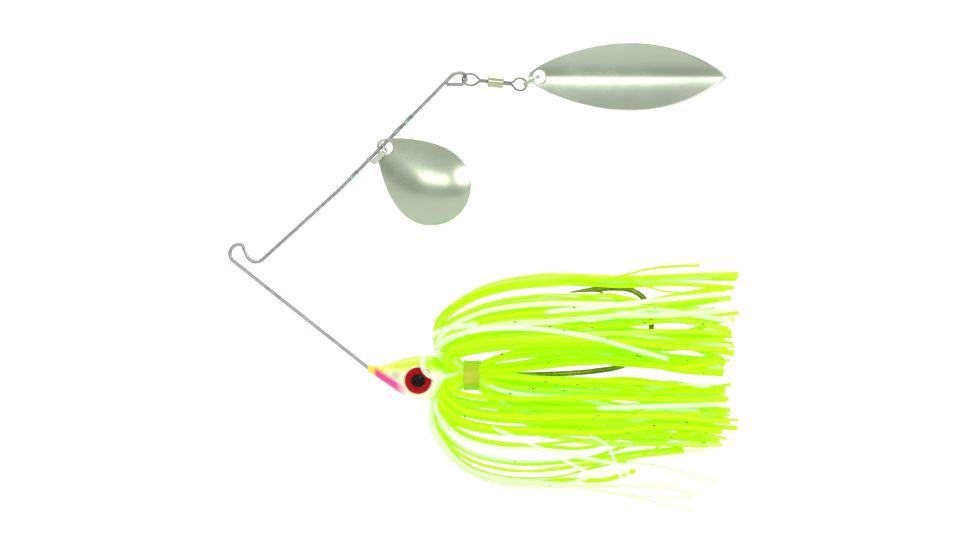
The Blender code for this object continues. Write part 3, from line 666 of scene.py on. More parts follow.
def clear_silicone():
    """Clear white silicone strands with a faint green cast, black flecks and a faint painted glow (emission)
    of their own colour.
    """
    # painted light: Emission_Strength here and the Emission Color linked below make the clear strands glow
    # faintly
    finish = Finish("clear_silicone", (0.90, 0.97, 0.82), roughness=0.30, Emission_Strength=0.10)
    tint = finish.add("ShaderNodeAttribute", attribute_name="tint").outputs["Fac"]
    colour = finish.mix(tint, (0.92, 0.97, 0.93), (0.84, 1.0, 0.55))
    dark = flecks(finish, 0.60)
    colour = finish.mix(dark, colour, (0.03, 0.03, 0.03))
    finish.colour(colour)
    # painted glow: the clear strands emit their own colour
    finish.link("Emission Color", colour)
    finish.link("Alpha", finish.math("MAXIMUM", finish.ramp(tint, 0.0, 1.0, 0.45, 0.72), dark))
    finish.bump(finish.noise(1500.0, 2.0), 0.00003, 0.2)
    return finish.material


def make_materials():
    return {
        "wire": drawn_wire("stainless_wire", (0.36, 0.39, 0.36), 0.28),
        "swivel_wire": drawn_wire("swivel_wire", (0.27, 0.29, 0.22), 0.26),
        "ring": drawn_wire("split_ring_steel", (0.72, 0.75, 0.66), 0.22),
        "colorado": plated_sheet("colorado_nickel", (0.50, 0.575, 0.44), (0.44, 0.515, 0.38), 0.26,
                                 (0.0, -40.0, 0.0)),
        "willow": plated_sheet("willow_nickel", (0.50, 0.56, 0.45), (0.44, 0.51, 0.40), 0.26,
                               (0.0, 0.0, 0.0)),
        "clevis": plated_sheet("clevis_nickel", (0.60, 0.63, 0.58), (0.46, 0.50, 0.42), 0.20,
                               (0.0, 45.0, 0.0)),
        "barrel": nickelled_brass(),
        "bronze": bronze_lacquer(),
        "enamel": head_enamel(),
        "eye": printed_eye(),
        "dome": clear_resin("eye_resin", (1.0, 1.0, 1.0), 0.02, 1.15, 0.2),
        "bead": clear_resin("bead_plastic", (0.90, 0.97, 0.93), 0.03, 1.33, 0.5),
        "band": band_rubber(),
        "chartreuse": chartreuse_silicone(),
        "clear": clear_silicone(),
    }


# ---- wire frame and what rides on it ----
def tangent_heading(one, other):
    """Heading of the straight run that leaves circle one and meets circle other."""
    ax, az, a_radius, a_turn = one
    bx, bz, b_radius, b_turn = other
    span = math.hypot(bx - ax, bz - az)
    return math.atan2(bz - az, bx - ax) - math.asin((b_radius * b_turn - a_radius * a_turn) / span)


def wrapped_path(start, circles, end, step=5.0, run=1.5):
    """The line that a taut wire takes from start to end round circles (x, z, radius, turn).

    It is an arc on each circle, a point every step degrees, and their common tangents between,
    a point about every run millimetres.
    """
    rounds = [(*start, 0.0, 1), *circles, (*end, 0.0, 1)]
    headings = [tangent_heading(one, other) for one, other in zip(rounds, rounds[1:])]
    pieces = [np.array([start])]
    for (x, z, radius, turn), before, after in zip(circles, headings, headings[1:]):
        sweep = (after - before) * turn % (2 * math.pi)
        a = before + turn * np.linspace(0.0, sweep, max(3, math.ceil(math.degrees(sweep) / step)))
        bend = np.stack([x + turn * radius * np.sin(a), z - turn * radius * np.cos(a)], -1)
        pieces += [straight(pieces[-1][-1], bend[0], run), bend]
    pieces += [straight(pieces[-1][-1], np.array(end), run), np.array([end])]
    return np.concatenate(pieces)


def straight(start, end, run):
    """Points between start and end, about run apart, without the ends."""
    count = max(1, int(np.linalg.norm(end - start) / run))
    share = np.linspace(0.0, 1.0, count + 1)[1:-1, None]
    return start + (end - start) * share


def arm_angle():
    """Rise of the upper arm's straight part, in radians."""
    return tangent_heading(ARM_KINK, LOOP_SHOULDER)


def on_arm(distance):
    """The point on the upper arm, distance past its slight kink."""
    x, z, radius, turn = ARM_KINK
    a = arm_angle()
    start = np.array([x + turn * radius * math.sin(a), 0.0, z - turn * radius * math.cos(a)])
    return start + np.array([math.cos(a), 0.0, math.sin(a)]) * distance


def wire_frame(materials):
    """Lower arm, open line tie, upper arm and end loop as one round bar."""
    circles = [TIE_BACK, TIE_TOP, TIE_REST, ARM_KINK, LOOP_SHOULDER, LOOP_END]
    arms = in_plane(wrapped_path(NOSE_ENTRY, circles, LOOP_TIP))
    anchor = smooth_curve([*WIRE_ANCHOR, arms[0]], 60)[:-1]
    grid = round_bar(np.concatenate([anchor, arms]), WIRE_RADIUS, 24, (0.35, 0.85, -0.40))
    piece("wire_form", closed_mesh("wire_form", grid), materials["wire"], "stainless_wire",
          "frame", "wire_frame")


def beads(materials):
    """Each bead is a ball with a bore: its outer arc and its bore turned about the arm."""
    reach = math.degrees(math.acos(BEAD_BORE / BEAD_RADIUS))
    outer = arc((0.0, 0.0), BEAD_RADIUS, 90 - reach, 90 + reach, 40)
    profile = np.stack([outer[:, 1], outer[:, 0]], -1)
    bore = np.stack([np.full(12, BEAD_BORE), np.linspace(profile[-1, 1], profile[0, 1], 14)[1:-1]], -1)
    shape = lathed(np.concatenate([profile, bore]), 48)
    for name, distance in BEADS.items():
        grid = turned(shape, "Y", -math.degrees(arm_angle())) + on_arm(distance)
        piece(name + "_ball", closed_mesh(name, grid, True), materials["bead"], "clear_bead",
              name, name)


def strap_profile(half_width, half_thickness, columns=24):
    """A rounded bar section: a superellipse of the fourth power."""
    p, q = squared(np.linspace(0.0, 2 * math.pi, columns, endpoint=False), 0.5)
    return np.stack([np.broadcast_to(half_thickness * p, (len(half_width), columns)),
                     np.asarray(half_width)[:, None] * q], -1)


def washer(outer, inner, thickness, columns=48):
    """A flat ring with eased edges: its rounded section turned about the Z axis."""
    across, up = squared(np.linspace(0.0, 2 * math.pi, 20, endpoint=False), 0.4)
    radius = (outer + inner) / 2 + (outer - inner) / 2 * across
    height = thickness / 2 * up
    turn = np.linspace(0.0, 2 * math.pi, columns, endpoint=False)[:, None]
    return np.stack([radius * np.cos(turn), radius * np.sin(turn), height + 0 * turn], -1)


def clevis(materials):
    """A strap bent to a U round the arm: two pierced ears and the strap between them."""
    neck = CLEVIS_DEPTH - CLEVIS_CORNER
    corner = arc((neck, CLEVIS_HALF_SPAN - CLEVIS_CORNER), CLEVIS_CORNER, 90, 0, 14)
    leg = np.concatenate([[(place, CLEVIS_HALF_SPAN) for place in CLEVIS_LEG], corner])
    bottom = [(CLEVIS_DEPTH, place) for place in CLEVIS_BOTTOM]
    path = np.concatenate([leg, bottom, leg[::-1] * [1, -1]])
    widths = np.full(len(path), CLEVIS_NECK)
    strap = carried(in_plane(path), strap_profile(widths, CLEVIS_THICKNESS / 2)[..., ::-1], (0, 1, 0))
    ear = washer(CLEVIS_EAR, CLEVIS_HOLE, CLEVIS_THICKNESS)
    ears = [ear + np.array([0.0, 0.0, side * CLEVIS_HALF_SPAN]) for side in (1, -1)]
    shapes = []
    for grid, wrap in ((strap, False), (ears[0], True), (ears[1], True)):
        grid = turned(grid, "Z", -CLEVIS_TURN)
        grid = turned(grid, "Y", 90.0 - math.degrees(arm_angle())) + on_arm(CLEVIS_AT)
        shapes.append((grid, wrap))
    piece("clevis_strap", joined("clevis_strap", shapes), materials["clevis"], "clevis_nickel",
          "clevis", "clevis")


# ---- blades ----
def colorado_outline(along):
    """Share of the half width along a teardrop: sin(pi u^1.516) to the power 0.47."""
    return np.maximum(0.0, np.sin(math.pi * along**1.516)) ** 0.47


def willow_outline(along):
    """Share of the half width along a leaf: sin(pi u^1.045) to the power 0.58 + 0.20 u."""
    return np.maximum(0.0, np.sin(math.pi * along**1.045)) ** (0.58 + 0.20 * along)


def blade_rise(blade, outline, crown, x, z):
    """Height of the pressed sheet over (x, z): dish * share^1.6 * crown(z over half width)."""
    along = np.clip((x + blade["nose"]) / blade["length"], 0.0, 1.0)
    share = np.maximum(outline(along), 1e-3)
    across = np.clip(z / (share * blade["half_width"]), -1.0, 1.0)
    return blade["dish"] * share**1.6 * crown(across)


def blade_grid(blade, outline, crown, columns=240):
    """The blade as a closed ring of sections, each from the hole's wall out to the rim and back.

    A column's hole point lies at an even angle on the hole, its rim point at the cosine-spaced
    place on the outline, and the section runs straight between them in plan. The sheet is set
    off by half its thickness either way along its normal, with round walls at both ends.
    """
    t = np.linspace(-1.0, 1.0, columns, endpoint=False)
    along = (1.0 - np.cos(math.pi * (1.0 - np.abs(t)))) / 2
    margin = BLADE_THICKNESS / 2
    rim_x = along * (blade["length"] - 2 * margin) + margin - blade["nose"]
    rim_z = np.sign(t) * outline(along) * (blade["half_width"] - margin)
    angle = math.pi * t
    hole = blade["hole"] + margin
    hole_x, hole_z = hole * np.cos(angle), hole * np.sin(angle)
    share = np.linspace(0.0, 1.0, 56)
    wall = np.radians(np.linspace(90.0, -90.0, 9)[1:-1])
    flat, bend = np.ones_like(share), np.ones_like(wall)
    place = np.concatenate([share, bend, share[::-1], 0 * bend])[:, None]
    side = np.concatenate([flat, np.sin(wall), -flat, np.sin(wall[::-1])])[:, None, None] * margin
    out = np.concatenate([0 * flat, np.cos(wall), 0 * flat, -np.cos(wall[::-1])])[:, None] * margin
    x = hole_x + (rim_x - hole_x) * place
    z = hole_z + (rim_z - hole_z) * place
    spread = np.hypot(rim_x - hole_x, rim_z - hole_z)
    x = x + out * (rim_x - hole_x) / spread
    z = z + out * (rim_z - hole_z) / spread

    def rise(x, z):
        return blade_rise(blade, outline, crown, x, z)

    step = SLOPE_STEP
    slope_x = (rise(x + step, z) - rise(x - step, z)) / (2 * step)
    slope_z = (rise(x, z + step) - rise(x, z - step)) / (2 * step)
    slope_x, slope_z = (np.clip(slope, -STEEPEST, STEEPEST) for slope in (slope_x, slope_z))
    normal = unit(np.stack([slope_x, np.ones_like(x), slope_z], -1))
    sheet = np.stack([x, -rise(x, z), z], -1)
    return sheet + side * normal


def round_crown(across):
    """A plain dish's share of its rise, from the middle (0) to the rim (1)."""
    return 1 - across**2


def creased_crown(across):
    """The leaf's share of its rise: two faces that meet in a slightly rounded crease."""
    return 1 - (across**2 + CREASE_SOFTNESS) ** 0.8


def blades(materials):
    """The dished teardrop and the creased leaf, each turned down about its hole."""
    plans = (
        ("colorado_blade", COLORADO, colorado_outline, round_crown, "colorado"),
        ("willow_blade", WILLOW, willow_outline, creased_crown, "willow"),
    )
    for name, blade, outline, crown, finish in plans:
        grid = turned(blade_grid(blade, outline, crown), "Y", blade["droop"]) + blade["hole_at"]
        piece(name + "_sheet", closed_mesh(name, grid, True), materials[finish], "blade_nickel",
              name, name)


# ---- swivel and split ring ----
def on_swivel_axis(points):
    """Local points (along, side, up) laid on the swivel's drooping axis."""
    return turned(points, "Y", SWIVEL_DROOP) + np.array([LOOP_END[0], 0.0, LOOP_END[1]])


def swivel_eye(name, eye, foot_at, materials):
    """A wire bent round into an eye, both shanks running into the barrel to a turned foot."""
    side = 1 if eye["end"] > foot_at else -1
    centre = abs(eye["end"] - foot_at) - eye["radius"]
    rise = SHANK_GAP + FLARE_RADIUS
    flare = centre - math.sqrt((eye["radius"] + FLARE_RADIUS + EYE_CLEARANCE) ** 2 - rise**2)
    bends = [(flare, rise, FLARE_RADIUS, 1), (centre, 0.0, eye["radius"], -1),
             (flare, -rise, FLARE_RADIUS, 1)]
    path = in_plane(wrapped_path((0.0, SHANK_GAP), bends, (0.0, -SHANK_GAP), 8.0, 0.4))
    path[:, 0] = foot_at + side * path[:, 0]
    loop = round_bar(path, SWIVEL_WIRE, 16)
    half = FOOT_THICKNESS / 2
    front, rear, edge = foot_at - half, foot_at + half, FOOT_EDGE
    foot = lathed([(AXIS_GAP, front), (FOOT_RADIUS - edge, front), (FOOT_RADIUS, front + edge),
                   (FOOT_RADIUS, rear - edge), (FOOT_RADIUS - edge, rear), (AXIS_GAP, rear)], 32)
    shapes = [(on_swivel_axis(turned(grid, "X", eye["tilt"])), False) for grid in (loop, foot)]
    piece(name + "_wire", joined(name, shapes), materials["swivel_wire"], "swivel_wire", name, name)


def swivel(materials):
    """Both eyes and the barrel that their feet turn in."""
    inset = BARREL_WALL + FOOT_PLAY + FOOT_THICKNESS / 2
    swivel_eye("swivel_front_eye", FRONT_EYE, BARREL_FRONT + inset, materials)
    swivel_eye("swivel_rear_eye", REAR_EYE, BARREL_REAR - inset, materials)
    front, rear, radius = BARREL_FRONT, BARREL_REAR, BARREL_RADIUS
    inner = radius - BARREL_WALL
    shoulder, waist = BARREL_SHOULDER, radius - WAIST_DEPTH
    outside = np.concatenate([
        [(BARREL_MOUTH, rear), (radius - shoulder - BARREL_LIP, rear)],
        arc((rear - shoulder, radius - shoulder), shoulder, 0, 90, 10)[:, ::-1],
        [(radius, rear - BAND_ENDS), (waist, rear - WAIST_STARTS), (waist, front + WAIST_STARTS),
         (radius, front + BAND_ENDS)],
        arc((front + shoulder, radius - shoulder), shoulder, 90, 180, 10)[:, ::-1],
        [(radius - shoulder - BARREL_LIP, front), (BARREL_MOUTH, front)],
    ])
    inside = [(BARREL_MOUTH, front + BARREL_WALL), (inner, front + BARREL_WALL),
              (inner, rear - BARREL_WALL), (BARREL_MOUTH, rear - BARREL_WALL)]
    grid = on_swivel_axis(lathed(np.concatenate([outside, inside]), 72))
    piece("swivel_barrel_shell", closed_mesh("swivel_barrel_shell", grid, True), materials["barrel"],
          "barrel_brass", "swivel_barrel", "swivel_barrel")


def split_ring(materials):
    """Two turns of wire: a flat helix round the middle of the ring."""
    left = on_swivel_axis(np.array([RING_LEFT_AT, 0.0, 0.0]))
    right = np.array(WILLOW["hole_at"])
    across = unit(right - left)
    side = np.array([0.0, 1.0, 0.0])
    normal = np.cross(across, side)
    share = np.linspace(0.0, 1.0, 150)[:, None]
    angle = 2 * math.pi * (RING_START + RING_TURNS * share)
    radius = np.linalg.norm(right - left) / 2
    rise = RING_PITCH * RING_TURNS * (share - 0.5)
    path = (left + right) / 2 + radius * (across * np.cos(angle) + side * np.sin(angle)) + normal * rise
    grid = round_bar(path, RING_WIRE, 16, normal)
    piece("split_ring_coil", closed_mesh("split_ring_coil", grid), materials["ring"],
          "split_ring_steel", "split_ring", "split_ring")


# ---- head, eyes and hook ----
def head(materials):
    """Rings of an ellipse along the head: centre + (half width sin a, half height cos a).

    The eye's seat is pressed in: inside its circle a point's distance from the middle plane is
    no more than the seat's floor, eased over the rim.
    """
    rows = smooth_curve(HEAD_SECTIONS, 230)
    x, top, bottom, half_width = rows.T
    keeper_x, keeper_radius = np.array(KEEPER_SECTIONS).T
    middle, half_height = (top + bottom) / 2, (top - bottom) / 2
    x = np.concatenate([[x[0] - NOSE_LIP], x, keeper_x])
    centre = np.concatenate([[middle[0]], middle, np.full(len(keeper_x), COLLAR_CENTRE)])
    half_height = np.concatenate([[NOSE_SHARE * half_height[0]], half_height, keeper_radius])
    half_width = np.concatenate([[NOSE_SHARE * half_width[0]], half_width, keeper_radius])
    a = np.linspace(0.0, 2 * math.pi, 200, endpoint=False)
    y = half_width[:, None] * np.sin(a)
    z = centre[:, None] + half_height[:, None] * np.cos(a)
    far = np.hypot(x[:, None] - EYE_CENTRE[0], z - EYE_CENTRE[1])
    inside = np.clip((SOCKET_RADIUS - far) / SOCKET_RIM, 0.0, 1.0)
    inside = inside * inside * (3 - 2 * inside)
    pressed = np.sign(y) * np.minimum(np.abs(y), SOCKET_FLOOR)
    grid = np.stack([x[:, None] + 0 * a, y + (pressed - y) * inside, z], -1)
    piece("head_casting", closed_mesh("head_casting", grid), materials["enamel"], "head_paint",
          "frame", "head")


def eyes(materials):
    """In each seat a printed disc, and over it a clear cap: a flat back and a low dome."""
    base = EYE_DISC_THICKNESS + PART_GAP
    curve = (EYE_RADIUS**2 + EYE_DOME_HEIGHT**2) / (2 * EYE_DOME_HEIGHT)
    edge = math.degrees(math.acos(EYE_RADIUS / curve))
    cap = arc((0.0, base + EYE_DOME_HEIGHT - curve), curve, 89.3, edge, 22)
    dome = lathed(np.concatenate([cap, [(EYE_RADIUS, base), (AXIS_GAP, base)]]), 72)
    face = [(radius, EYE_DISC_THICKNESS) for radius in (AXIS_GAP, 1.0, 2.0, 3.0, EYE_RADIUS - EYE_DISC_EDGE)]
    disc = lathed([*face, (EYE_RADIUS, EYE_DISC_THICKNESS - EYE_DISC_EDGE), (EYE_RADIUS, 0.0),
                   (AXIS_GAP, 0.0)], 72)
    for side, hand in ((-1, "left"), (1, "right")):
        for grid, kind, finish, slot in (
            (disc, "eye_disc", "eye", "eye_print"),
            (dome, "eye_dome", "dome", "eye_cap"),
        ):
            seated = turned(grid, "Z", 90.0 * side)
            seated = seated + [EYE_CENTRE[0], side * (SOCKET_FLOOR + PART_GAP), EYE_CENTRE[1]]
            node = f"{hand}_{kind}"
            piece(node + "_turned", closed_mesh(node, seated), materials[finish], slot, "frame", node)


def hook(materials):
    """The hook's bar with its tapering point, its eye and the sliver of its barb."""
    path = smooth_curve(in_plane(HOOK_ROUTE), 260)
    far = np.linalg.norm(path - path[-1], axis=1)
    share = np.clip(far / HOOK_POINT_LENGTH, 0.0, 1.0) ** 0.75
    radii = HOOK_POINT_RADIUS + (HOOK_RADIUS - HOOK_POINT_RADIUS) * share
    bar = round_bar(path, radii, 28)
    a = np.linspace(0.0, 2 * math.pi, 64, endpoint=False)
    ring = np.stack([HOOK_EYE_AT[0] + HOOK_EYE_RADIUS * np.cos(a), 0 * a,
                     HOOK_EYE_AT[1] + HOOK_EYE_RADIUS * np.sin(a)], -1)
    spoke = unit(ring - np.array([HOOK_EYE_AT[0], 0.0, HOOK_EYE_AT[1]]))
    section = circle_profile(np.full(64, HOOK_EYE_WIRE), 20)
    eye = (ring[:, None] + section[..., :1] * spoke[:, None]
           + section[..., 1:] * np.array([0.0, 1.0, 0.0]))
    barb_path = smooth_curve(in_plane(BARB_ROUTE), 16)
    barb = round_bar(barb_path, np.linspace(BARB_ROOT_RADIUS, BARB_TIP_RADIUS, 16), 14, ends=False)
    shapes = [(bar, False), (eye, True), (barb, False)]
    piece("hook_bar", joined("hook_bar", shapes), materials["bronze"], "hook_bronze", "frame", "hook")


# ---- skirt ----
def band(materials):
    """A rubber collar: a slightly waisted section turned about the head's collar."""
    front, rear, edge = BAND_FRONT, BAND_REAR, BAND_EDGE
    outer = np.concatenate([
        arc((rear - edge, BAND_OUTER - edge), edge, 0, 90, 8)[:, ::-1],
        np.stack([BAND_OUTER - BAND_WAIST * np.sin(np.linspace(0, math.pi, 14)[1:-1]),
                  np.linspace(rear - edge, front + edge, 14)[1:-1]], -1),
        arc((front + edge, BAND_OUTER - edge), edge, 90, 180, 8)[:, ::-1],
    ])
    profile = np.concatenate([outer, [(BAND_INNER, front), (BAND_INNER, rear)]])
    grid = lathed(profile, 96) + np.array([0.0, 0.0, COLLAR_CENTRE])
    piece("band_collar", closed_mesh("band_collar", grid, True), materials["band"], "band_rubber",
          "frame", "skirt_band")


# the way a folded strand runs out from the band: (x, share of the way out to its shoulder)
UPPER_FOLD = np.array([
    (64.5, -0.04), (61.7, 0.00), (60.3, 0.06), (58.9, 0.13), (57.2, 0.20), (55.6, 0.27),
    (54.6, 0.35), (54.6, 0.44), (55.7, 0.55), (58.4, 0.66), (62.2, 0.765), (67.0, 0.865),
    (73.5, 0.94), (80.0, 0.98), (87.0, 1.00),
])
LOWER_FOLD = np.array([
    (64.5, -0.04), (61.7, 0.00), (60.2, 0.05), (58.6, 0.10), (56.6, 0.16), (54.6, 0.22),
    (53.5, 0.30), (53.5, 0.41), (54.5, 0.52), (56.8, 0.65), (60.3, 0.79), (65.7, 0.91),
    (73.5, 0.985), (82.0, 1.00),
])
# folded locks: (strands, side y, height, spread, tip x, tip y, tip height, tip spread, reach,
# share of clear strands), heights over the collar's centre
UPPER_LOCKS = [
    (7, 3.6, 25.7, 1.3, 136.0, 4.5, 28.2, 2.8, 1.00, 0.12),
    (3, 5.5, 25.2, 0.3, 133.0, 6.0, 25.0, 2.0, 0.98, 0.25),
    (5, 5.5, 20.4, 1.1, 133.0, 6.5, 18.6, 3.0, 0.97, 0.20),
    (5, 9.0, 18.2, 1.2, 134.5, 9.5, 19.0, 4.5, 0.95, 0.40),
    (5, 10.6, 15.9, 1.2, 133.0, 11.0, 17.4, 4.2, 0.90, 0.20),
    (6, 11.5, 11.9, 1.4, 134.5, 12.0, 11.6, 3.8, 0.80, 0.10),
    (6, 12.0, 9.6, 1.2, 134.0, 12.4, 9.6, 2.6, 0.70, 0.12),
    (3, 4.5, 16.5, 1.2, 132.0, 5.0, 18.5, 3.0, 0.85, 0.10),
    (3, 4.5, 11.5, 1.0, 131.0, 6.0, 12.0, 2.4, 0.70, 0.05),
    (7, 9.0, 10.2, 1.4, 133.0, 10.5, 8.6, 1.8, 0.48, 0.05),
]
LOWER_LOCKS = [
    (4, 3.5, -28.4, 0.5, 107.0, 4.0, -25.2, 1.2, 1.00, 0.00),
    (5, 4.5, -30.0, 0.9, 125.0, 5.0, -33.8, 2.2, 1.02, 0.85),
    (3, 7.5, -25.0, 0.9, 122.0, 7.0, -17.6, 2.2, 0.98, 0.10),
    (4, 9.5, -21.8, 1.6, 129.5, 9.5, -24.4, 3.0, 0.94, 0.80),
    (3, 10.4, -17.4, 1.3, 131.0, 11.0, -17.6, 2.0, 0.86, 0.20),
    (3, 11.4, -13.4, 1.4, 131.5, 12.0, -13.0, 2.4, 0.76, 0.00),
    (3, 12.2, -9.8, 1.2, 132.0, 12.4, -9.4, 2.0, 0.66, 0.00),
    (2, 4.0, -14.0, 1.2, 130.0, 5.0, -14.0, 2.4, 0.66, 0.10),
    (6, 9.0, -7.6, 1.4, 131.0, 10.5, -7.4, 1.6, 0.48, 0.30),
]
# locks behind the band: (strands, root height, middle y, middle height, spread, tip x, tip y,
# tip height, tip spread, lateness in leaving the middle line, share of clear strands)
TAIL_LOCKS = [
    (11, 2.8, 4.6, 7.0, 1.1, 131.5, 5.0, 2.8, 1.4, 1.0, 0.05),
    (8, 1.4, 6.5, 4.9, 0.7, 130.0, 7.0, 2.2, 1.2, 2.6, 0.00),
    (7, 0.9, 6.8, 3.9, 0.6, 131.0, 7.0, 2.6, 1.2, 4.0, 0.00),
    (8, 0.3, 6.8, -1.7, 0.6, 130.0, 7.0, -4.0, 1.0, 4.0, 0.05),
    (9, -0.6, 6.8, -3.8, 1.2, 132.5, 8.0, -4.8, 1.8, 1.2, 0.05),
    (10, -1.5, 7.2, -7.0, 1.3, 132.0, 8.6, -8.6, 1.9, 1.0, 0.12),
    (10, -2.4, 6.4, -10.8, 1.3, 133.0, 7.4, -12.2, 1.9, 1.0, 0.12),
    (9, -3.0, 4.6, -14.4, 1.2, 130.5, 5.0, -16.2, 1.8, 1.0, 0.20),
]
# where a tail strand has got to on its way from its root to its middle: (x, share)
TAIL_STATIONS = np.array([
    (64.0, 0.00), (67.0, 0.08), (69.5, 0.32), (73.0, 0.56), (78.0, 0.76), (86.0, 0.92), (94.0, 1.00),
])
# the rest of the way to the tips, as shares of the run and of the rise
TIP_RUN = np.array([0.34, 0.68, 1.00])
TIP_RISE = TIP_RUN**1.5
# single clear strands that lie on top: points (x, y, height over the collar's centre)
LOOSE_STRANDS = [
    [(62.0, -3.2, 0.8), (57.4, -4.9, -0.2), (55.3, -5.7, -0.7), (53.7, -6.0, -0.4), (52.2, -6.1, 0.4),
     (51.2, -6.0, 1.7), (50.9, -5.8, 3.3), (51.1, -5.5, 5.3), (52.0, -5.5, 8.1), (54.4, -6.4, 11.4),
     (58.5, -8.6, 13.0), (66.0, -10.4, 13.8)],
    [(62.0, -2.6, 2.2), (57.5, -5.4, 4.6), (54.8, -7.6, 7.4), (57.6, -10.2, 10.2), (64.8, -12.6, 12.2),
     (73.5, -13.4, 12.9), (85.0, -13.6, 12.4), (97.0, -13.6, 10.3), (108.0, -13.4, 7.2),
     (117.0, -13.2, 4.6)],
    [(84.0, -10.6, 17.2), (100.0, -11.0, 18.8), (118.0, -11.2, 20.8), (138.5, -11.0, 22.7)],
    [(98.0, -9.0, -8.8), (112.0, -9.4, -8.2), (124.0, -9.5, -7.9), (137.2, -9.4, -7.4)],
    [(70.0, -8.0, -14.0), (84.0, -11.0, -20.0), (95.0, -12.4, -25.6), (100.0, -12.6, -27.0)],
    [(96.0, -11.4, -16.0), (101.0, -12.0, -19.0), (104.0, -12.2, -26.4), (106.0, -12.0, -28.6)],
]
LOOSE_WIDTHS = [1.4, 1.3, 1.4, 1.3, 1.0, 0.9]
# heights over the collar's centre that are clear of the hook
BELOW_SHANK = -3.0
ABOVE_POINT = 25.0


def side_shares(height, count, rng):
    """How far out to its side each strand lies; locks clear of the hook may cross the middle."""
    clear_of_hook = height < BELOW_SHANK or height > ABOVE_POINT
    nearest = CROSSING_SHARE if clear_of_hook else CLEAR_SHARE
    return rng.uniform(nearest, OUTER_SHARE, count)


def even_places(count):
    """count numbers from -1 to 1."""
    return np.linspace(-1.0, 1.0, count) if count > 1 else np.zeros(1)


def on_to_tips(x, y, z, ends, rng):
    """The knots so far and three more towards the tips, with a wave of each strand's own."""
    wave = rng.normal(0.0, TIP_WAVE, (len(x), 3))
    rise = TIP_RISE if ends[2].mean() > 0 else TIP_RUN
    tails = (
        x[:, -1:] + (ends[0] - x[:, -1])[:, None] * TIP_RUN,
        y[:, -1:] + (ends[1] - y[:, -1])[:, None] * TIP_RUN + 0.6 * wave[:, ::-1],
        z[:, -1:] + (ends[2] - z[:, -1])[:, None] * rise + wave,
    )
    return np.stack([np.concatenate(pair, 1) for pair in zip((x, y, z), tails)], -1)


def folded_lock(lock, hand, rng, fold):
    """Knots of a lock's strands: forwards from the band, out over the shoulder, back to the tips.

    A knot is the root moved towards the shoulder by the fold's share, and its x is the fold's,
    drawn back towards the band by the lock's reach. The root lies on the collar's side rather than
    straight below its shoulder, by up to SEAT_SPREAD.
    """
    count, side_y, height, spread, tip_x, tip_y, tip_height, tip_spread, reach, _ = lock
    lift = rng.permutation(even_places(count)) * spread + rng.normal(0.0, 0.2 * spread, count)
    outward = side_shares(height, count, rng)
    shoulder_y = np.minimum(side_y * outward, SHOULDER_LIMIT)
    shoulder_z = height + lift
    seat = np.arctan2(shoulder_y, shoulder_z)
    seat = seat + np.sign(shoulder_z * shoulder_y) * rng.uniform(0.0, SEAT_SPREAD, count)
    root = rng.uniform(*ROOT_RADII, count)
    root_y, root_z = root * np.sin(seat), root * np.cos(seat)
    depth = reach * rng.uniform(0.90, 1.03, (count, 1))
    ahead, share = fold[:, 0] - BAND_FRONT, fold[:, 1]
    x = BAND_FRONT + np.where(ahead < 0, ahead * depth, ahead)
    y = hand * (root_y[:, None] + (shoulder_y - root_y)[:, None] * share)
    z = root_z[:, None] + (shoulder_z - root_z)[:, None] * share
    end_x = tip_x + rng.normal(1.6, 1.2, count) - rng.exponential(2.4, count)
    end_y = hand * np.minimum(tip_y * outward + rng.normal(0.0, 0.4, count), TIP_LIMIT)
    end_z = tip_height + rng.permutation(even_places(count)) * tip_spread
    return on_to_tips(x, y, z, (end_x, end_y, end_z), rng)


def tail_lock(lock, hand, rng, stations):
    """Knots of a lock's strands from under the band straight back, spreading as they go."""
    count, root_height, mid_y, mid_height, spread, tip_x, tip_y, tip_height, tip_spread, late, _ = lock
    lift = rng.permutation(even_places(count)) * spread + rng.normal(0.0, 0.2 * spread, count)
    root_z = np.clip(root_height + rng.normal(0.0, 0.3, count), -TAIL_ROOT_RADIUS, TAIL_ROOT_RADIUS)
    root_y = np.sqrt(np.maximum(0.05, TAIL_ROOT_RADIUS**2 - root_z**2)) * rng.uniform(0.6, 1.0, count)
    middle_y = mid_y * side_shares(mid_height, count, rng)
    middle_z = mid_height + lift
    share = stations[:, 1]
    x = np.broadcast_to(stations[:, 0], (count, len(share)))
    y = hand * (root_y[:, None] + (middle_y - root_y)[:, None] * share)
    z = root_z[:, None] + (middle_z - root_z)[:, None] * share**late
    end_x = tip_x + rng.normal(1.4, 1.0, count) - rng.exponential(2.0, count)
    end_y = hand * tip_y * side_shares(mid_height, count, rng)
    end_z = tip_height + rng.permutation(even_places(count)) * tip_spread
    return on_to_tips(x, y, z, (end_x, end_y, end_z), rng)


def strand_grids(knots, widths, rng, stations=44):
    """Flat strips along smooth curves: a superellipse section, rolled about its own path.

    The broad side leans outwards, away from the collar, with a roll of its own for each strand
    that drifts along it. The section narrows where the band squeezes it.
    """
    path = smooth_curve(knots, stations)
    count = len(path)
    share = np.linspace(0.0, 1.0, stations)
    squeeze = np.clip(0.55 + share / 0.12, 0.0, 1.0)
    width = widths[:, None] * squeeze
    half_width, half_thickness = width / 2, np.full_like(width, STRAND_THICKNESS / 2)
    a = np.linspace(0.0, 2 * math.pi, 10, endpoint=False) + math.pi / 10
    p, q = squared(a, 0.5)
    roll = rng.normal(0.0, 0.45, (count, 1)) + rng.normal(0.0, 1.3, (count, 1)) * (share - 0.3)
    flat_p = half_thickness[..., None] * p
    flat_q = half_width[..., None] * q
    cos_roll, sin_roll = np.cos(roll)[..., None], np.sin(roll)[..., None]
    profile = np.stack([flat_p * cos_roll - flat_q * sin_roll, flat_p * sin_roll + flat_q * cos_roll], -1)
    outward = path * np.array([0.0, 1.0, 0.35])
    outward = outward + np.sign(path[..., 1:2]) * np.array([0.0, 2.0, 0.0])
    grid = carried(path, profile, unit(outward))
    return grid + np.array([0.0, 0.0, COLLAR_CENTRE])


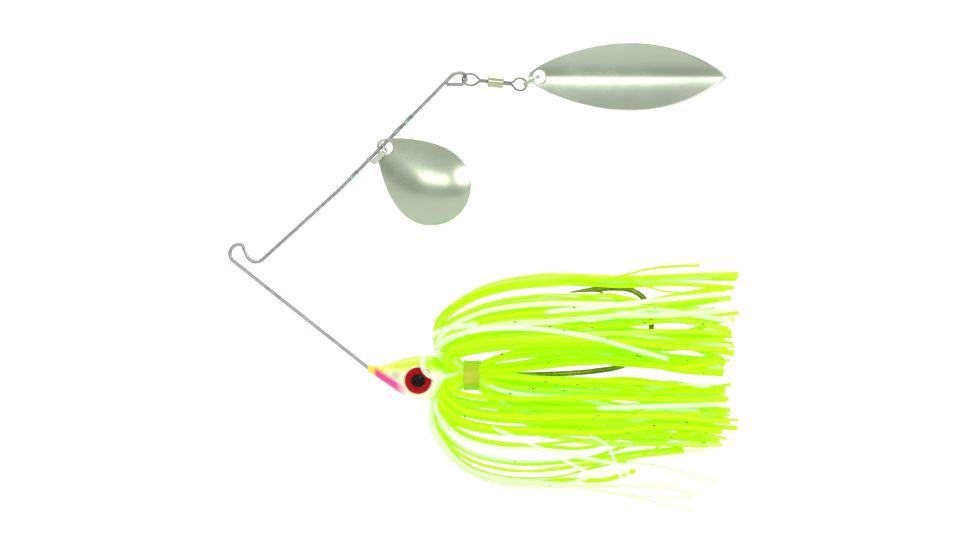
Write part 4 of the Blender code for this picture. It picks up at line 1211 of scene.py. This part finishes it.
def skirt_part(name, knots, clear, tint, widths, materials, rng, nodes):
    """One piece of chartreuse strands and one of clear strands."""
    knots, clear, tint = np.asarray(knots), np.asarray(clear), np.asarray(tint)
    widths = np.asarray(widths)
    for kind, chosen, finish in (("bright", ~clear, "chartreuse"), ("clear", clear, "clear")):
        grids = strand_grids(knots[chosen], widths[chosen], rng)
        tints = tint[chosen][:, None, None]
        replaced = nodes if kind == "bright" else []
        piece(f"{name}_{kind}_strands", closed_mesh(name, grids, tints=tints), materials[finish],
              "skirt_silicone", "frame", *replaced)


def lock_nodes(*names):
    return [f"skirt_{name}_{hand}" for name in names for hand in ("left", "right")]


def skirt(materials):
    """The folded front half, above and below, the rear half, and the strands that lie loose."""
    rng = np.random.default_rng(SEED)
    plans = (
        ("skirt_upper", UPPER_LOCKS, folded_lock, UPPER_FOLD,
         lock_nodes("crest", "inner_upper", "upper", "flank_upper")),
        ("skirt_lower", LOWER_LOCKS, folded_lock, LOWER_FOLD,
         lock_nodes("flank_lower", "lower", "inner_lower", "keel")),
        ("skirt_tail", TAIL_LOCKS, tail_lock, TAIL_STATIONS,
         [*lock_nodes("tail_upper", "tail_side", "tail_lower"), "skirt_tail_keel", "skirt_waist"]),
    )
    for name, locks, make, stations, nodes in plans:
        knots, clear, tint, widths = [], [], [], []
        for hand in (-1, 1):
            for lock in locks:
                half = max(2, round(lock[0] * SIDE_SHARE + NEAR_SIDE_EXTRA * (hand < 0)))
                made = make((half, *lock[1:]), hand, rng, stations)
                knots.extend(made)
                clear.extend(rng.random(len(made)) < lock[-1])
                tint.extend(np.clip(rng.normal(TINT_MIDDLE, TINT_SPREAD, len(made)), 0.0, 1.0))
                widths.extend(STRAND_WIDTH * rng.uniform(0.85, 1.2, len(made)))
        clear[0], clear[1] = False, True
        skirt_part(name, knots, clear, tint, widths, materials, rng, nodes)
    grids = [strand_grids(np.array([knots]), np.array([width]), rng)[0]
             for knots, width in zip(LOOSE_STRANDS, LOOSE_WIDTHS)]
    mesh = closed_mesh("loose_strands", np.array(grids), tints=LOOSE_TINT)
    piece("skirt_loose_strands", mesh, materials["clear"], "skirt_silicone", "frame")


# ---- floor, light and camera ----
CAMERA_TARGET = (0.0689, 0.0, -0.0068)
CAMERA_DISTANCE = 1.474
CAMERA_LENS = 200.0
FLOOR_Z = -0.115
# y behind which the floor is plain white paper; in front of it a painted shade turns the paper grey
PAINTED_SHADE_EDGE = -0.38


def stage_material():
    """Matt white paper with a trace of tooth, painted grey in front of the set as painted shade where the
    lamps fall off.
    """
    finish = Finish("studio_paper", (0.93, 0.93, 0.92), roughness=0.95, Specular_IOR_Level=0.05)
    paper = finish.mix(finish.noise(40.0, 3.0), (0.92, 0.92, 0.91), (0.94, 0.94, 0.93))
    _, y, _ = finish.parts()
    # painted shade: the paper greys in front of the set, for the metal to reflect as a dark band
    finish.colour(finish.blend(y, PAINTED_SHADE_EDGE - 0.2, PAINTED_SHADE_EDGE, (0.46, 0.47, 0.46), paper))
    return finish.material


def floor():
    """A floor that sweeps up into a backdrop: a flat run, a quarter circle and a wall."""
    front, rear, bend, wall, half = -2.6, 2.6, 1.2, 2.4, 4.0
    a = np.linspace(0.0, math.pi / 2, 24)
    y = np.concatenate([np.linspace(front, rear, 12)[:-1], rear + bend * np.sin(a), [rear + bend]])
    z = np.concatenate([np.zeros(11), bend * (1 - np.cos(a)), [bend + wall]]) + FLOOR_Z
    x = np.linspace(-half, half, 9)
    points = np.stack([x[None] + 0 * y[:, None], y[:, None] + 0 * x, z[:, None] + 0 * x], -1)
    rows, columns = points.shape[:2]
    i, j = np.arange(rows - 1)[:, None], np.arange(columns - 1)[None]
    quads = np.stack([i * columns + j, i * columns + j + 1, (i + 1) * columns + j + 1,
                      (i + 1) * columns + j], -1).reshape(-1, 4)
    data = bpy.data.meshes.new("studio_sweep")
    data.from_pydata(points.reshape(-1, 3).tolist(), [], quads.tolist())
    data.shade_smooth()
    data.materials.append(stage_material())
    item = bpy.data.objects.new("studio_sweep", data)
    bpy.context.scene.collection.objects.link(item)


def area_light(name, place, target, size, power, colour=(1.0, 1.0, 1.0)):
    """A rectangular soft light at place, aimed at target."""
    data = bpy.data.lights.new(name, "AREA")
    data.shape = "RECTANGLE"
    data.size, data.size_y = size
    data.energy = power
    data.color = colour
    item = bpy.data.objects.new(name, data)
    bpy.context.scene.collection.objects.link(item)
    item.location = place
    aim = Vector(target) - Vector(place)
    item.rotation_euler = aim.to_track_quat("-Z", "Y").to_euler()
    return item


def room():
    """The unlit room round the set: dim below eye level in front, paler towards the ceiling."""
    world = bpy.data.worlds.new("studio_room")
    bpy.context.scene.world = world
    world.use_nodes = True
    nodes, links = world.node_tree.nodes, world.node_tree.links
    direction = nodes.new("ShaderNodeTexCoord").outputs["Generated"]
    parts = nodes.new("ShaderNodeSeparateXYZ")
    links.new(direction, parts.inputs[0])
    ramp = nodes.new("ShaderNodeValToRGB")
    ramp.color_ramp.interpolation = "EASE"
    ramp.color_ramp.elements[0].position = 0.48
    ramp.color_ramp.elements[0].color = (0.54, 0.55, 0.54, 1.0)
    ramp.color_ramp.elements[1].position = 0.54
    ramp.color_ramp.elements[1].color = (1.0, 1.0, 0.99, 1.0)
    share = nodes.new("ShaderNodeMapRange")
    share.inputs["From Min"].default_value = -1.0
    links.new(parts.outputs[2], share.inputs["Value"])
    links.new(share.outputs["Result"], ramp.inputs["Fac"])
    background = nodes["Background"]
    links.new(ramp.outputs["Color"], background.inputs["Color"])
    background.inputs["Strength"].default_value = 0.78


def studio():
    """The room, a light on the backdrop, one overhead and two softboxes in front."""
    room()
    area_light("backdrop_light", (0.07, 1.6, 1.7), (0.07, 3.4, 0.1), (3.0, 1.0), 46.0)
    area_light("top_light", (0.0, 0.15, 1.1), (0.05, 0.0, 0.0), (0.9, 0.6), 4.5)
    area_light("front_strip", (0.28, -1.7, 0.37), (0.07, 0.0, 0.02), (1.25, 0.38), 4.6)
    area_light("right_softbox", (1.30, -0.85, 0.44), (0.07, 0.0, 0.02), (0.9, 0.5), 5.0)


def camera():
    """A long lens level with the lure, square to its side."""
    data = bpy.data.cameras.new("camera")
    data.lens = CAMERA_LENS
    item = bpy.data.objects.new("camera", data)
    bpy.context.scene.collection.objects.link(item)
    x, y, z = CAMERA_TARGET
    item.location = (x, y - CAMERA_DISTANCE, z)
    item.rotation_euler = (math.pi / 2, 0.0, 0.0)
    data.clip_end = 50.0
    bpy.context.scene.camera = item


# ---- the whole lure ----
def main():
    materials = make_materials()
    wire_frame(materials)
    beads(materials)
    clevis(materials)
    blades(materials)
    swivel(materials)
    split_ring(materials)
    head(materials)
    eyes(materials)
    hook(materials)
    band(materials)
    skirt(materials)
    floor()
    studio()
    camera()
    bpy.context.scene.view_settings.view_transform = "Standard"


main()
